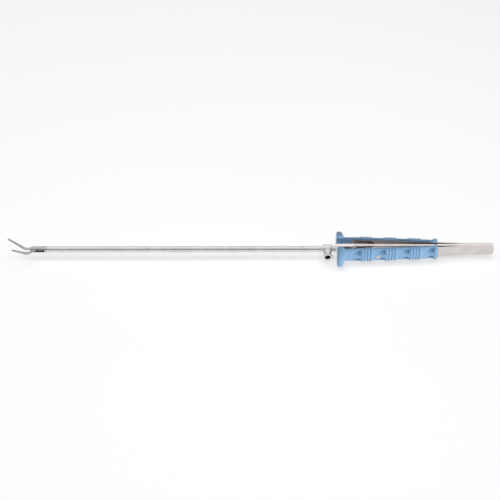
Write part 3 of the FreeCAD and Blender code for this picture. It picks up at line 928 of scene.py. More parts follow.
@dataclass
class FlushFitting(SubAssembly):
    """The collar at the tube's end, its open rinsing port and the neck behind it.

    A profile's rows are (along, out, rounding). Along is measured back from the port's mouth or
    from the collar's end, and out from the radius of the waist, the rim, the bore or the neck.
    The barrel's row is (back from the mouth, rounding), and the rows of the black sheet that paints
    the bore's shade are (back from the mouth, in from the bore).
    """

    shoulder: float = 0.55
    collar_roundings: Corner = (0.08, 0.2, 0.4)
    groove_inset: float = 1.0
    groove_rounding: float = 0.05
    groove_depth: float = 0.12
    groove_half: float = 0.22
    barrel: float = 2.9
    barrel_row: Point = (2.9, 0.3)
    waist: float = 2.5
    waist_rows: tuple[Corner, ...] = ((2.4, 0.0, 0.2), (1.65, 0.0, 0.2))
    rim_rows: tuple[Corner, ...] = ((1.3, -0.15, 0.25), (0.1, 0.0, 0.42), (0.0, -0.55, 0.3))
    bore: float = 2.15
    bore_rows: tuple[Corner, ...] = ((0.0, 0.25, 0.18), (0.35, 0.0, 0.15), (6.0, -0.12, 0.2))
    channel: float = 1.0
    # Rows of a thin black sheet in the port's bore: painted shade, so that the open bore looks dark.
    lining_rows: tuple[Point, ...] = ((0.42, 0.02), (0.45, 0.08), (5.8, 0.1))
    lining_back: Point = (5.9, 0.04)
    port_chords: int = 72
    bead: float = 0.32
    bead_chords: int = 8
    tube_wall: float = 0.5
    neck_rows: tuple[Corner, ...] = ((0.0, -0.25, 0), (0.3, 0.0, 0.15), (1.35, 0.0, 0.1), (1.6, -0.25, 0.15),
                                     (2.0, -0.25, 0.15), (2.25, 0.0, 0.1))
    spigot: float = 1.5
    rod_bore: float = 1.06

    def build(self) -> None:
        """Builds all three turned pieces and the black sheet that paints the shade in the port's bore."""
        low, high = span("flush_port")
        self.build_collar()
        self.build_port(-low.y, -high.y, high.z, (low.x + high.x) / 2)
        self.build_neck()

    def build_collar(self) -> None:
        """The collar: rounded shoulders and two fine turned grooves."""
        low, high = span("flush_body")
        radius, bore, face = high.z, span("shaft_tube")[1].z, high.z - self.shoulder
        mouth, rim, crest = self.collar_roundings
        corners = [(low.x, bore, mouth), (low.x, face, rim), (low.x + self.shoulder, radius, crest)]
        for x in (low.x + self.groove_inset, high.x - self.groove_inset):
            corners += [(x + along, radius - down, self.groove_rounding) for along, down in
                        ((-self.groove_half, 0.0), (0.0, self.groove_depth), (self.groove_half, 0.0))]
        corners += [(high.x - self.shoulder, radius, crest), (high.x, face, rim), (high.x, bore, mouth)]
        collar = turned("flush_collar", rounded(corners), Axis.SHAFT, ROUND)
        self.dress(collar, "bright_steel", "shaft", ["flush_body"])

    def build_port(self, mouth: float, foot: float, rim: float, centre_x: float) -> None:
        """The port: a rolled rim, a waist behind it, an open bore, a brazed foot and a black sheet in the
        bore that paints its shade.

        Args:
            mouth: distance of the mouth from the shaft.
            foot: distance of the foot from the shaft.
            rim: radius of the rim.
            centre_x: where the port stands along the shaft.
        """
        back, rounding = self.barrel_row
        corners = [(foot, self.channel, 0), (foot, self.barrel, 0), (mouth - back, self.barrel, rounding)]
        for radius, rows in ((self.waist, self.waist_rows), (rim, self.rim_rows),
                             (self.bore, self.bore_rows)):
            corners += [(mouth - back, radius + out, rounding) for back, out, rounding in rows]
        corners.append((mouth - self.bore_rows[-1][0], self.channel, 0.1))
        at = (centre_x, 0, 0)
        body = turned("port_body", rounded(corners), Axis.NEAR, ROUND, at)
        port = joined("rinsing_port", [body, self.bead_ring(centre_x)])
        self.dress(port, "bright_steel", "shaft", ["flush_port"])
        # A thin black sheet in the bore is painted shade: it makes the open bore look dark.
        outline = [(mouth - back, self.bore - inward) for back, inward in self.lining_rows]
        end, inward = self.lining_back
        outline += [(outline[-1][0], self.channel), (mouth - end, self.channel),
                    (mouth - end, self.bore - inward)]
        bore_shade = turned("port_lining", outline, Axis.NEAR, self.port_chords, at)
        self.dress(bore_shade, "seal_rubber", "shaft")

    def bead_ring(self, centre_x: float) -> Piece:
        """The thin brazed bead where the barrel meets the collar's round side.

        Args:
            centre_x: where the port stands along the shaft.

        Returns:
            The bead.
        """
        collar, rings = span("flush_body")[1].z, []
        for k in range(self.port_chords):
            angle = math.tau * k / self.port_chords
            out = Vector((math.cos(angle), 0, math.sin(angle)))
            foot = out * self.barrel
            on_collar = Vector((centre_x, -math.sqrt(collar**2 - foot.z**2), 0)) + foot
            turns = [math.tau * m / self.bead_chords for m in range(self.bead_chords)]
            rings.append([on_collar + self.bead * (out * math.cos(turn) + Vector((0, math.sin(turn), 0)))
                          for turn in turns])
        return skin("port_bead", rings, closed=True)

    def build_neck(self) -> None:
        """The neck: its plug in the tube, its round waist and its spigot in the bar."""
        low, high = span("neck")
        collar_end, bar_front = span("flush_body")[1].x, span("centre_bar")[0].x
        radius, plug = high.z, span("shaft_tube")[1].z - self.tube_wall
        corners = [(low.x, self.rod_bore, 0), (low.x, plug, 0), (collar_end, plug, 0)]
        corners += [(collar_end + back, radius + out, rounding) for back, out, rounding in self.neck_rows]
        corners += [(bar_front, radius, 0), (bar_front, self.spigot, 0), (high.x, self.spigot, 0),
                    (high.x, self.rod_bore, 0)]
        neck = turned("neck_joint", rounded(corners, steps=3), Axis.SHAFT, ROUND)
        self.dress(neck, "bright_steel", "shaft", ["neck"])


@dataclass
class CentreBar(SubAssembly):
    """The flat bar between the arms, with its thick front block and the slider's window.

    The window is (start, end, half height). Overlap and through are how far tools and joined
    pieces reach past what they are meant to work on.
    """

    block_end_x: float = 24.0
    block_corner: float = 0.55
    window: tuple[float, float, float] = (24.8, 43.0, 3.0)
    window_corner: float = 0.8
    tail_corner: float = 2.0
    edge: float = 0.14
    spigot_bore: float = 1.5
    spigot_depth: float = 5.0
    rod_bore: float = 1.06
    overlap: float = 1.0
    through: float = 4.0

    def build(self) -> None:
        """Builds the bar with broken edges and its window cut through."""
        low, high = span("centre_bar")
        thick, corner = span("far_spring_tail")[0].y, self.tail_corner
        inside = low.x + self.overlap
        flat = rounded([(inside, low.z, 0), (high.x, low.z, corner), (high.x, high.z, corner),
                        (inside, high.z, 0)], steps=8)
        bar = plate("middle_bar", flat, Through.Y, -thick, thick)
        section = oblong((low.y, low.z), (high.y, high.z), self.block_corner)
        start, end, half = self.window
        gap = oblong((start, -half), (end, half), self.window_corner, steps=6)
        front, step, back = low.x - self.overlap, low.x + self.spigot_depth, start + self.overlap
        bore = [(front, 0), (front, self.spigot_bore), (step, self.spigot_bore), (step, self.rod_bore),
                (back, self.rod_bore), (back, 0)]
        carved(bar, [(Work.JOIN, plate("block", section, Through.X, low.x, self.block_end_x)),
                     (Work.CUT, plate("hole", gap, Through.Y, -self.through, self.through)),
                     (Work.CUT, turned("bore", bore, Axis.SHAFT, SMALL_ROUND))], self.edge)
        self.dress(bar, "bar_steel", "shaft", ["centre_bar"])


@dataclass
class Spring(SubAssembly):
    """One side's spring: a single bowed strip from the grip's front to the tail's end.

    The bevel is (length, drop). Rings of points are set at three pitches, for the leaf, the root
    and the tail: the root's zone is (before the root, after it), and the tail's is (where it
    starts, how far before the end it stops).
    """

    side: Side
    bow: Bow = Bow()
    corner: float = 2.0
    bevel: Point = (2.8, 0.5)
    edge: float = 0.2
    root_reach: float = 4.0
    root_zone: Point = (13.0, 6.0)
    tail_zone: Point = (120.0, 2.9)
    pitches: Corner = (2.0, 0.6, 3.0)
    pitch_gap: float = 1.0
    corner_step: int = 9

    def centre_y(self, x: float) -> float:
        """Finds the middle of the strip, with the bend at its root eased.

        Args:
            x: where it is read.

        Returns:
            Its distance from the shaft's middle plane.
        """
        reach = self.root_reach
        run = self.bow.root_x - x
        if abs(run) < reach:
            eased = self.bow.slope * (run + reach) ** 2 / (4 * reach)
            return self.bow.root_y + self.bow.thick / 2 + eased
        return self.bow.inner_y(x) + self.bow.thick / 2

    def build(self) -> None:
        """Builds the strip, between the arm and the clamped tail, and leaves it on no body."""
        end_x = span("far_spring_tail")[1].x
        leaf, root, tail = self.pitches
        ahead, behind = self.bow.root_x - self.root_zone[0], self.bow.root_x + self.root_zone[1]
        stations = spread(self.bow.front_x, ahead - self.pitch_gap, leaf) + spread(ahead, behind, root)
        stations += spread(self.tail_zone[0], end_x - self.tail_zone[1], tail) + [end_x - self.bevel[0]]
        stations += [end_x - self.corner * (1 - math.sin(math.radians(a)))
                     for a in range(0, 91, self.corner_step)]
        rings = []
        for x in sorted(stations):
            into_end = max(0.0, x - (end_x - self.corner))
            width = self.bow.half_width - self.corner + math.sqrt(max(self.corner**2 - into_end**2, 0.0))
            drop = max(0.0, x - (end_x - self.bevel[0])) / self.bevel[0] * self.bevel[1]
            low, high = -self.bow.thick / 2, self.bow.thick / 2 - drop
            section = oblong((low, -width), (high, width), self.edge, steps=3)
            rings.append([Vector((x, self.centre_y(x) + y, z)) for y, z in section])
        word, sign = self.side.word, self.side.value
        strip = moved(skin(f"{word}_spring_strip", rings), self.side.turn())
        self.dress(strip, "spring_steel", nodes=[f"{word}_arm_spring", f"{word}_spring_tail"])
        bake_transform(strip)


@dataclass
class Grip(SubAssembly):
    """The moulded grip on one arm: a guard, a waved handle with ribs and finger dents, a rim.

    A pair of sizes is (half width, height above the leaf's inner face). The guard's rows are
    (behind its front, off the rim's width, off its height), and the waist's rows are
    (behind its front, on the dip's width, on its height). A dent's flare is how soon it opens and
    how roundly, its floor is where it is deepest and where its end wall starts, as shares of its
    length, and the screw's seat is (radius, depth).
    """

    bow: Bow = Bow()
    setback: float = 0.15
    side_height: float = 0.4
    foot: float = 0.3
    foot_step: float = 0.4
    lip: float = 1.7
    rear_lip: float = 0.9
    lip_step: float = 0.22
    rim: Point = (8.7, 10.4)
    guard_rows: tuple[Corner, ...] = ((0.0, 0.0, 0.0), (3.4, 0.03, 0.05), (4.5, 0.45, 0.6), (5.2, 1.15, 2.0),
                                      (5.7, 1.9, 4.8))
    waist_rows: tuple[Corner, ...] = ((6.2, 0.1, 0.9), (7.2, -0.1, 0.1), (12.0, 0.0, 0.0))
    swell: Point = (6.5, 4.4)
    swell_ahead: float = 0.5
    swell_sag: float = 0.15
    dip: Point = (6.3, 3.8)
    dip_run: Point = (2.2, 4.6)
    rib: Point = (7.0, 4.9)
    rib_foot: Point = (6.15, 3.95)
    rib_step: float = 0.32
    rib_power: float = 0.8
    rib_groups: int = 3
    ribs: int = 4
    rib_pitch: float = 2.4
    rib_thick: float = 1.4
    first_rib_x: float = 30.3
    group_pitch: float = 19.4
    collar: Point = (7.1, 4.9)
    collar_x: float = 88.6
    collar_step: Point = (0.6, 0.5)
    collar_sag: float = 0.1
    dent_length: float = 8.6
    dent_half: float = 3.0
    dent_depth: float = 2.0
    dent_z: float = 3.7
    dent_flare: Point = (1.6, 0.7)
    dent_floor: Point = (0.8, 0.76)
    dent_narrowing: float = 0.02
    crown_power: float = 2.2
    crown_chords: int = 56
    crown_start: float = 1.0
    pad: float = 0.12
    pad_overlap: float = 0.15
    pad_end_x: float = 24.5
    pad_fade: float = 0.5
    pitch: float = 0.3
    hair: float = 0.01
    screw_seat: Point = (1.86, 0.85)
    seat_out: float = 3.0

    def group_starts(self) -> list[float]:
        """Where each group of ribs starts."""
        return [self.first_rib_x + group * self.group_pitch for group in range(self.rib_groups)]

    def stations(self, start_x: float, end_x: float) -> list[Corner]:
        """Key sizes of the grip along X: guard, waves and rear rim.

        Args:
            start_x: the guard's front face.
            end_x: the rim's rear face.

        Returns:
            (x, half width, height above the leaf's inner face) of each station.
        """
        (rim_width, rim_height), (width, height) = self.rim, self.dip
        keys = [(start_x + x, rim_width - inward, rim_height - down) for x, inward, down in self.guard_rows]
        keys += [(start_x + x, width + out, height + up) for x, out, up in self.waist_rows]
        group_length = (self.ribs - 1) * self.rib_pitch + self.rib_thick
        for x in self.group_starts():
            after = x + group_length
            keys += [(x - self.swell_ahead, *self.swell),
                     (after, self.swell[0], self.swell[1] - self.swell_sag)]
            keys += [(after + run, *self.dip) for run in self.dip_run]
        before, behind = self.collar_step
        keys += [(self.collar_x - before, self.swell[0], self.swell[1] - self.collar_sag),
                 (self.collar_x + behind, *self.collar), (end_x, *self.collar)]
        return keys

    def dent(self, x: float, z: float) -> float:
        """Depth of the finger dents, teardrops that end bluntly before each rib group.

        Args:
            x, z: where the depth is read.

        Returns:
            The depth in millimetres, 0 outside the dents.
        """
        deepest = 0.0
        flare, power = self.dent_flare
        for end_x in self.group_starts() + [self.collar_x]:
            along = (x - (end_x - self.dent_length)) / self.dent_length
            if 0 < along < 1:
                half = self.dent_half * min(1.0, along * flare) ** power
                across = min(1.0, abs(abs(z) - self.dent_z) / half)
                wall = smooth(self.dent_floor[1], 1.0, along)
                floor = smooth(0.0, self.dent_floor[0], along) * (1 - wall)
                deepest = max(deepest, self.dent_depth * floor * (1 - across**2) ** 2)
        return deepest

    def section(self, x: float, size: Point, channel: float, dents: bool = True) -> list[Vector]:
        """The grip's outline across X.

        Args:
            x: where the outline lies.
            size: half width, and height above the leaf's inner face.
            channel: how deep the leaf's seat is, above the base.
            dents: whether the finger dents are pressed into the crown.

        Returns:
            The outline's points in space, with the base at the leaf's bow.
        """
        width, height = size
        foot, leaf, base = self.foot, self.bow.half_width, self.bow.inner_y(x) + self.setback
        rise = height - self.setback - self.side_height
        covered = 1 - smooth(self.pad_end_x - self.pad_fade, self.pad_end_x, x)
        seat = channel - (channel + self.setback + self.pad) * covered
        top, edge = leaf + self.pad_overlap * covered, leaf + (self.pad_overlap + self.pad) * covered
        points = [(seat, top), (seat, -top), (0.0, -edge)]
        arc = spread(0, QUARTER, self.foot_step)
        points += [(foot - foot * math.cos(a), -width + foot - foot * math.sin(a)) for a in arc]
        power = 2 / self.crown_power
        for angle in spread(-QUARTER, QUARTER, math.pi / self.crown_chords):
            z = width * math.copysign(abs(math.sin(angle)) ** power, angle)
            y = self.side_height + rise * abs(math.cos(angle)) ** power
            inward = self.dent(x, z) if dents else 0.0
            points.append((y - inward, z * (1 - self.dent_narrowing * inward)))
        points += [(foot - foot * math.sin(a), width - foot + foot * math.cos(a)) for a in arc]
        points.append((0.0, edge))
        return [Vector((x, base + y, z)) for y, z in points]

    def shell(self, start_x: float, end_x: float) -> Piece:
        """The grip without its ribs.

        Args:
            start_x: the guard's front face.
            end_x: the rim's rear face.

        Returns:
            The shell.
        """
        keys = self.stations(start_x, end_x)
        seat = self.bow.thick - self.setback
        rings = []
        for angle in spread(0, QUARTER, self.lip_step):
            shrink = self.lip * (1 - math.sin(angle))
            x = start_x + self.lip * (1 - math.cos(angle))
            rings.append(self.section(x, (self.rim[0] - shrink, self.rim[1] - shrink), 0.0))
        for x in spread(start_x + self.lip, self.bow.front_x - self.hair, self.pitch)[1:]:
            rings.append(self.section(x, ease(keys, x), 0.0))
        for x in spread(self.bow.front_x, end_x - self.rear_lip, self.pitch):
            rings.append(self.section(x, ease(keys, x), seat))
        for angle in spread(0, QUARTER, self.lip_step)[1:]:
            shrink = self.rear_lip * (1 - math.cos(angle))
            x = end_x - self.rear_lip * (1 - math.sin(angle))
            rings.append(self.section(x, (self.collar[0] - shrink, self.collar[1] - shrink), seat))
        return skin("grip_shell", rings)

    def mark_dents(self, shell: Piece) -> None:
        """Stores at every point of the crown how far down a finger dent it lies, from 0 to 1, as the mask of
        the painted shade in the dents.

        Args:
            shell: the shell, already carved.
        """
        # The stored mask of the painted shade in the finger dents.
        marks = shell.data.attributes.new("hollow", "FLOAT", "POINT")
        for vertex, mark in zip(shell.data.vertices, marks.data):
            x, y, z = vertex.co / MM
            crown = y > self.bow.inner_y(x) + self.side_height + self.crown_start
            mark.value = self.dent(x, z) / self.dent_depth if crown else 0.0

    def one_rib(self) -> Piece:
        """A half-round rib for the instances, drawn with the leaf's root line as its zero.

        Returns:
            The rib.
        """
        seat = self.bow.thick - self.setback
        zero = Vector((self.bow.root_x, self.bow.root_y, 0))
        rings = []
        for angle in spread(0, math.pi, self.rib_step):
            share = math.sin(angle) ** self.rib_power
            size = tuple(low + (high - low) * share for low, high in zip(self.rib_foot, self.rib))
            ring = self.section(self.bow.root_x, size, seat, dents=False)
            shift = Vector((-self.rib_thick / 2 * math.cos(angle), 0, 0))
            rings.append([point - zero + shift for point in ring])
        return skin("rib", rings)

    def build(self) -> None:
        """Builds the far grip, and the near one as its copy after half a turn."""
        low, high = span("far_grip")
        shell = self.shell(low.x, high.x)
        rib = self.one_rib()
        ribs = ribs_on_a_bow().run(
            "ribs", Rib=rib, Groups=self.rib_groups, Ribs=self.ribs, Material=self.finishes.grip_plastic,
            First_X=(self.first_rib_x + self.rib_thick / 2) * MM, Group_Pitch=self.group_pitch * MM,
            Rib_Pitch=self.rib_pitch * MM, Root_X=self.bow.root_x * MM, Slope=self.bow.slope,
            Bow=self.bow.bow / MM)
        moved(ribs, Matrix.Translation((0, self.bow.root_y * MM, 0)))
        bpy.data.objects.remove(rib)
        screw_low, screw_high = span("far_grip_screw")
        radius, depth = self.screw_seat
        bottom, top = screw_high.y - depth, screw_high.y + self.seat_out
        seat = turned("seat", [(bottom, 0), (bottom, radius), (top, radius), (top, 0)], Axis.FAR,
                      SMALL_ROUND, ((screw_low.x + screw_high.x) / 2, 0, 0))
        carved(shell, [(Work.CUT, seat)])
        self.mark_dents(shell)
        far = joined("far_moulded_grip", [shell, ribs])
        near = place("near_moulded_grip", far.data.copy())
        moved(near, Side.NEAR.turn())
        for piece, side in ((far, Side.FAR), (near, Side.NEAR)):
            self.dress(piece, "grip_plastic", f"{side.word}_arm", [f"{side.word}_grip"])


@dataclass
class GripScrew(SubAssembly):
    """The slotted screw that holds a grip to its leaf.

    The crown's rows are (below the top, in from the head's radius, rounding), and the slot is
    (half width, depth).
    """

    head_thick: float = 0.8
    shank: float = 0.9
    crown_rows: tuple[Corner, ...] = ((0.25, 0.0, 0.15), (0.0, 0.35, 0.25))
    slot: Point = (0.25, 0.45)
    slot_out: Point = (3.0, 1.0)
    edge: float = 0.05
    chords: int = 64

    def build(self) -> None:
        """Builds both screws."""
        low, high = span("far_grip_screw")
        centre_x, radius, top = (low.x + high.x) / 2, high.z, high.y
        under, (half, depth), (along, up) = top - self.head_thick, self.slot, self.slot_out
        corners = [(low.y, 0, 0), (low.y, self.shank, 0), (under, self.shank, 0), (under, radius, 0)]
        corners += [(top - down, radius - inward, rounding) for down, inward, rounding in self.crown_rows]
        outline = rounded(corners + [(top, 0, 0)])
        for side in Side:
            screw = turned(f"{side.word}_slotted_screw", outline, Axis.FAR, self.chords,
                           (centre_x, 0, 0))
            gap = oblong((top - depth, -half), (top + up, half))
            slot = plate("slot", gap, Through.X, centre_x - along, centre_x + along)
            carved(screw, [(Work.CUT, slot)], self.edge)
            moved(screw, side.turn())
            self.dress(screw, "bright_steel", f"{side.word}_arm", [f"{side.word}_grip_screw"])


@dataclass
class TailRivets(SubAssembly):
    """The two rivets through the tail, ground almost flush."""

    proud: float = 0.03
    radius: float = 1.25
    dome_step: float = 0.25

    def build(self) -> None:
        """Sets the rivets by Geometry Nodes."""
        low, high = span("tail_rivets")
        dome = [(high.y + self.proud * (1 - (r / self.radius) ** 2), r)
                for r in spread(0.0, self.radius, self.dome_step)]
        outline = dome + [(-along, r) for along, r in reversed(dome)]
        rivet = turned("rivet", outline, Axis.FAR, SMALL_ROUND)
        step = high.x - low.x - 2 * self.radius
        rivets = row_of_pieces().run(
            "flush_rivets", Piece=rivet, Count=2, Start=((low.x + self.radius) * MM, 0, 0),
            Step=(step * MM, 0, 0), End_Scale=(1, 1, 1), Material=self.finishes.spring_steel)
        bpy.data.objects.remove(rivet)
        self.dress(rivets, "spring_steel", "shaft", ["tail_rivets"])


@dataclass
class Jaws(SubAssembly):
    """The clevis with the fixed far jaw, and the moving near jaw with its tang.

    Lengths along a jaw start at the bridge, which is the back of its shank. The rings' pitches
    are those of the shank, the bend, the tapered bar and the blunt tip.
    """

    pivot: Vector
    gap: float = 0.04
    half_z: float = 1.1
    side: float = 0.4
    tip_half_z: float = 0.75
    reach: float = 15.5
    bend_x: float = -238.2
    bend_r: float = 2.4
    bend: float = 43.0
    bridge_x: float = -231.75
    open_angle: float = 38.0
    tip_start: float = 0.9
    taper_end: float = 0.6
    tip_blunt: float = 0.6
    back_chords: int = 14
    bend_zone: Point = (2.2, 2.1)
    bar_start: float = 0.5
    bar_end: float = 1.0
    ring_pitches: tuple[float, float, float, float] = (1.0, 0.15, 0.5, 0.06)
    tooth_pitch: float = 1.0
    tooth_depth: float = 0.32
    tooth_flat: float = 0.28
    tooth_root: float = 0.05
    teeth: int = 13
    first_tooth: float = 1.0
    tooth_room: float = 0.2
    nose: float = 1.75
    clevis_r: float = 2.45
    plug_r: float = 2.0
    rod_bore: float = 1.06
    pin_play: float = 0.015
    clevis_edge: float = 0.1
    shoulder_x: float = -230.8
    front_x: float = -233.6
    slot_half: float = 1.2
    slot_back_x: float = -222.2
    tang_half: float = 0.55
    tang_r: float = 1.3
    tang_edge: float = 0.06
    tang_overlap: float = 1.7
    drive_eye_r: float = 0.8
    pin_edge: float = 0.12
    overlap: float = 1.0
    through: float = 3.0
    hair: float = 0.01

    def stand(self, along: float) -> tuple[Vector, Vector]:
        """Finds a place on the jaw's middle line.

        Args:
            along: the length from the bridge.

        Returns:
            The place, and the way across the jaw there.
        """
        straight = self.bridge_x - self.bend_x - self.bend_r / 2
        corner = Vector((self.bend_x + self.bend_r / 2, 0, 0))
        turn = math.radians(self.bend)
        arc = self.bend_r * turn
        angle = min(max(along - straight, 0.0) / self.bend_r, turn)
        across = Vector((math.sin(angle), 0, math.cos(angle)))
        foot = corner + Vector((0, 0, self.bend_r)) - across * self.bend_r
        if along <= straight:
            foot = Vector((self.bridge_x - along, 0, 0))
        beyond = max(0.0, along - straight - arc)
        return foot + Vector((-math.cos(turn), 0, math.sin(turn))) * beyond, across

    def lengths(self) -> tuple[float, float]:
        """Length from the bridge to where the taper starts, and to the tip."""
        start = self.bridge_x - self.bend_x - self.bend_r / 2 + self.bend_r * math.radians(self.bend)
        return start, start + self.reach

    def toothed(self) -> tuple[float, float]:
        """Length from the bridge to the middle of the first tooth and of the last."""
        last = self.lengths()[1] - self.first_tooth
        return last - (self.teeth - 1) * self.tooth_pitch, last

    def half_width(self, along: float) -> float:
        """Radius of the jaw's round back.

        Args:
            along: the length from the bridge.

        Returns:
            The radius there.
        """
        start, tip = self.lengths()
        share = min(max((along - start) / (tip - self.taper_end - start), 0.0), 1.0)
        half = self.half_z + (self.tip_half_z - self.half_z) * share
        into_tip = max(0.0, along - (tip - self.tip_start)) / self.tip_start
        return half * math.sqrt(1 - into_tip**2 * self.tip_blunt)

    def bar(self) -> Piece:
        """Shank, bend and tapered working part of the far jaw, with a seat for its teeth.

        Returns:
            The bar.
        """
        start, tip = self.lengths()
        first, last = self.toothed()
        seat_start, seat_end = first - self.tooth_room, last + self.tooth_room
        shank, bend, straight, blunt = self.ring_pitches
        marks = spread(0, start - self.bend_zone[0], shank) + spread(start - self.bend_zone[1], start, bend)
        marks += spread(start + self.bar_start, tip - self.bar_end, straight)
        marks += spread(tip - self.tip_start, tip, blunt)
        marks += [edge + step for edge in (seat_start, seat_end) for step in (-self.hair, self.hair)]
        rings = []
        for along in sorted(marks):
            half = self.half_width(along)
            foot, across = self.stand(along)
            seat = self.tooth_depth if seat_start < along < seat_end else 0.0
            reach = QUARTER + math.asin((self.side - seat) / half)
            outline = [(self.gap + self.side + half * math.cos(a), half * math.sin(a))
                       for a in spread(-reach, reach, reach / self.back_chords)]
            rings.append([foot + across * n + Vector((0, y, 0)) for y, n in outline])
        return skin("jaw_bar", rings)

    def tooth_row(self) -> Piece:
        """The far jaw's teeth, a tapering row set by Geometry Nodes.

        Returns:
            The row.
        """
        first, last = self.toothed()
        first_half, last_half = (math.sqrt(self.half_width(along)**2 - self.side**2)
                                 for along in (first, last))
        crest, foot, depth = self.tooth_flat / 2, self.tooth_pitch / 2, self.tooth_depth
        profile = [(-foot, depth + self.tooth_root), (-foot, depth), (-crest, 0), (crest, 0), (foot, depth),
                   (foot, depth + self.tooth_root)]
        spot, across = self.stand(first)
        ahead = (self.stand(last)[0] - spot).normalized()
        tooth = skin("tooth", [[ahead * a + Vector((0, y, 0)) + across * first_half * n for a, y in profile]
                               for n in (-1, 1)])
        loss, bend = 1 - last_half / first_half, math.radians(self.bend)
        row = row_of_pieces().run(
            "teeth", Piece=tooth, Count=self.teeth, Start=(spot + Vector((0, self.gap, 0))) * MM,
            Step=ahead * self.tooth_pitch * MM, Material=self.finishes.jaw_steel,
            End_Scale=(1 - loss * math.sin(bend) ** 2, 1.0, 1 - loss * math.cos(bend) ** 2))
        bpy.data.objects.remove(tooth)
        return row

    def far_half(self) -> Piece:
        """The far jaw's bar and teeth in one."""
        return joined("far_half", [self.bar(), self.tooth_row()])

    def clevis(self) -> Piece:
        """The turned clevis with its slot, the cut for the moving jaw, and its pin holes.

        Returns:
            The clevis.
        """
        back_x, tube_front = span("fixed_jaw")[1].x, span("shaft_tube")[0].x
        outline = rounded([(back_x, 0, 0), (back_x, self.plug_r, 0), (tube_front, self.plug_r, 0),
                           (tube_front, self.clevis_r, 0.05), (self.shoulder_x, self.clevis_r, 0.5),
                           (self.front_x, self.nose, 0.35), (self.front_x, 0, 0)])
        body = turned("clevis", outline, Axis.SHAFT, ROUND)
        half, out, tools = self.slot_half, self.through, []
        for low, high in (((self.bridge_x, -out), (self.slot_back_x, out)),
                          ((self.front_x - self.overlap, -out), (self.bridge_x + self.hair, self.gap))):
            tools.append((Work.CUT, plate("slot", oblong(low, high), Through.Z, -half, half)))
        low, high = span("jaw_pivot_pin")
        pin = (high.x - low.x) / 2 + self.pin_play
        for name, start, end, radius, axis, at in (
                ("bore", self.slot_back_x - self.overlap, back_x + self.overlap, self.rod_bore, Axis.SHAFT,
                 (0, 0, 0)),
                ("pin_hole", -out, out, pin, Axis.UP, (self.pivot.x, self.pivot.y, 0))):
            hole = [(start, 0), (start, radius), (end, radius), (end, 0)]
            tools.append((Work.CUT, turned(name, hole, axis, SMALL_ROUND, at)))
        return carved(body, tools, self.clevis_edge)

    def tang(self) -> Piece:
        """The moving jaw's tang, closed, with its eye round the pivot pin.

        Returns:
            The tang.
        """
        drive, pivot = span("jaw_drive_pin"), self.pivot
        centre = (drive[0] + drive[1]) / 2
        back = Matrix.Rotation(-math.radians(self.open_angle), 3, "Z")
        closed = back @ (Vector((centre.x, centre.y, 0)) - pivot) + pivot
        jaw_x = self.bridge_x - self.tang_overlap
        outline = [(pivot.x - 1.15, pivot.y - 0.5), (self.bridge_x + 0.15, -self.gap), (jaw_x, -self.gap),
                   (jaw_x, -1.3), (pivot.x - 1.0, -1.5), (closed.x + 0.3, closed.y - 0.7),
                   (pivot.x + 1.1, pivot.y - 0.6)]
        body = plate("tang", outline, Through.Z, -self.tang_half, self.tang_half)
        tools = []
        for spot, radius in ((pivot, self.tang_r), (closed, self.drive_eye_r)):
            ring = [(spot.x + radius * math.cos(a), spot.y + radius * math.sin(a))
                    for a in spread(0, math.tau, math.tau / SMALL_ROUND)[:-1]]
            tools.append((Work.JOIN, plate("eye", ring, Through.Z, -self.tang_half, self.tang_half)))
        return carved(body, tools, self.tang_edge)

    def build(self) -> None:
        """Builds both jaws and the pivot pin, whose ends are ground round to the clevis."""
        fixed = joined("clevis_and_far_jaw", [self.clevis(), self.far_half()])
        self.dress(fixed, "jaw_steel", "shaft", ["fixed_jaw"])
        half = moved(self.far_half(), Matrix.Scale(-1, 4, (0, 1, 0)))
        jaw = joined("near_open_jaw", [half, self.tang()])
        about = Matrix.Translation(self.pivot * MM)
        moved(jaw, about @ Matrix.Rotation(math.radians(self.open_angle), 4, "Z") @ about.inverted())
        self.dress(jaw, "jaw_steel", "jaw", ["moving_jaw"])
        low, high = span("jaw_pivot_pin")
        radius, edge = (high.x - low.x) / 2, self.pin_edge
        outline = rounded([(low.z, 0, 0), (low.z, radius, edge), (high.z, radius, edge), (high.z, 0, 0)])
        pin = turned("pivot_pin", outline, Axis.UP, SMALL_ROUND, (self.pivot.x, self.pivot.y, 0))
        self.dress(pin, "jaw_steel", "shaft", ["jaw_pivot_pin"])


@dataclass
class InnerWorks(SubAssembly):
    """The mechanism that shows only through the gaps: frame nodes that keep their shape."""

    nodes: dict[str, Piece]
    steel: tuple[str, ...] = ("push_rod", "rod_fork", "slider", "slider_pin", "jaw_drive_pin", "far_lug",
                              "near_lug", "far_lug_pin", "near_lug_pin", "far_link", "near_link")
    rubber: tuple[str, ...] = ("rod_seal",)

    def build(self) -> None:
        """Puts each node's finish on its own material slots."""
        for names, finish in ((self.steel, self.finishes.inner_steel),
                              (self.rubber, self.finishes.seal_rubber)):
            for name in names:
                node = self.nodes[name]
                if not node.material_slots:
                    node.data.materials.append(finish)
                for holder in node.material_slots:
                    holder.material = finish
                LOG.info("%s: frame node in %s", node.name, finish.name)


# Studio


@dataclass(frozen=True)
class Lamp:
    """A soft area lamp: where it hangs and its width and height, in metres, and its watts."""

    name: str
    spot: Corner
    size: Point
    watts: float
    floor_only: bool = False


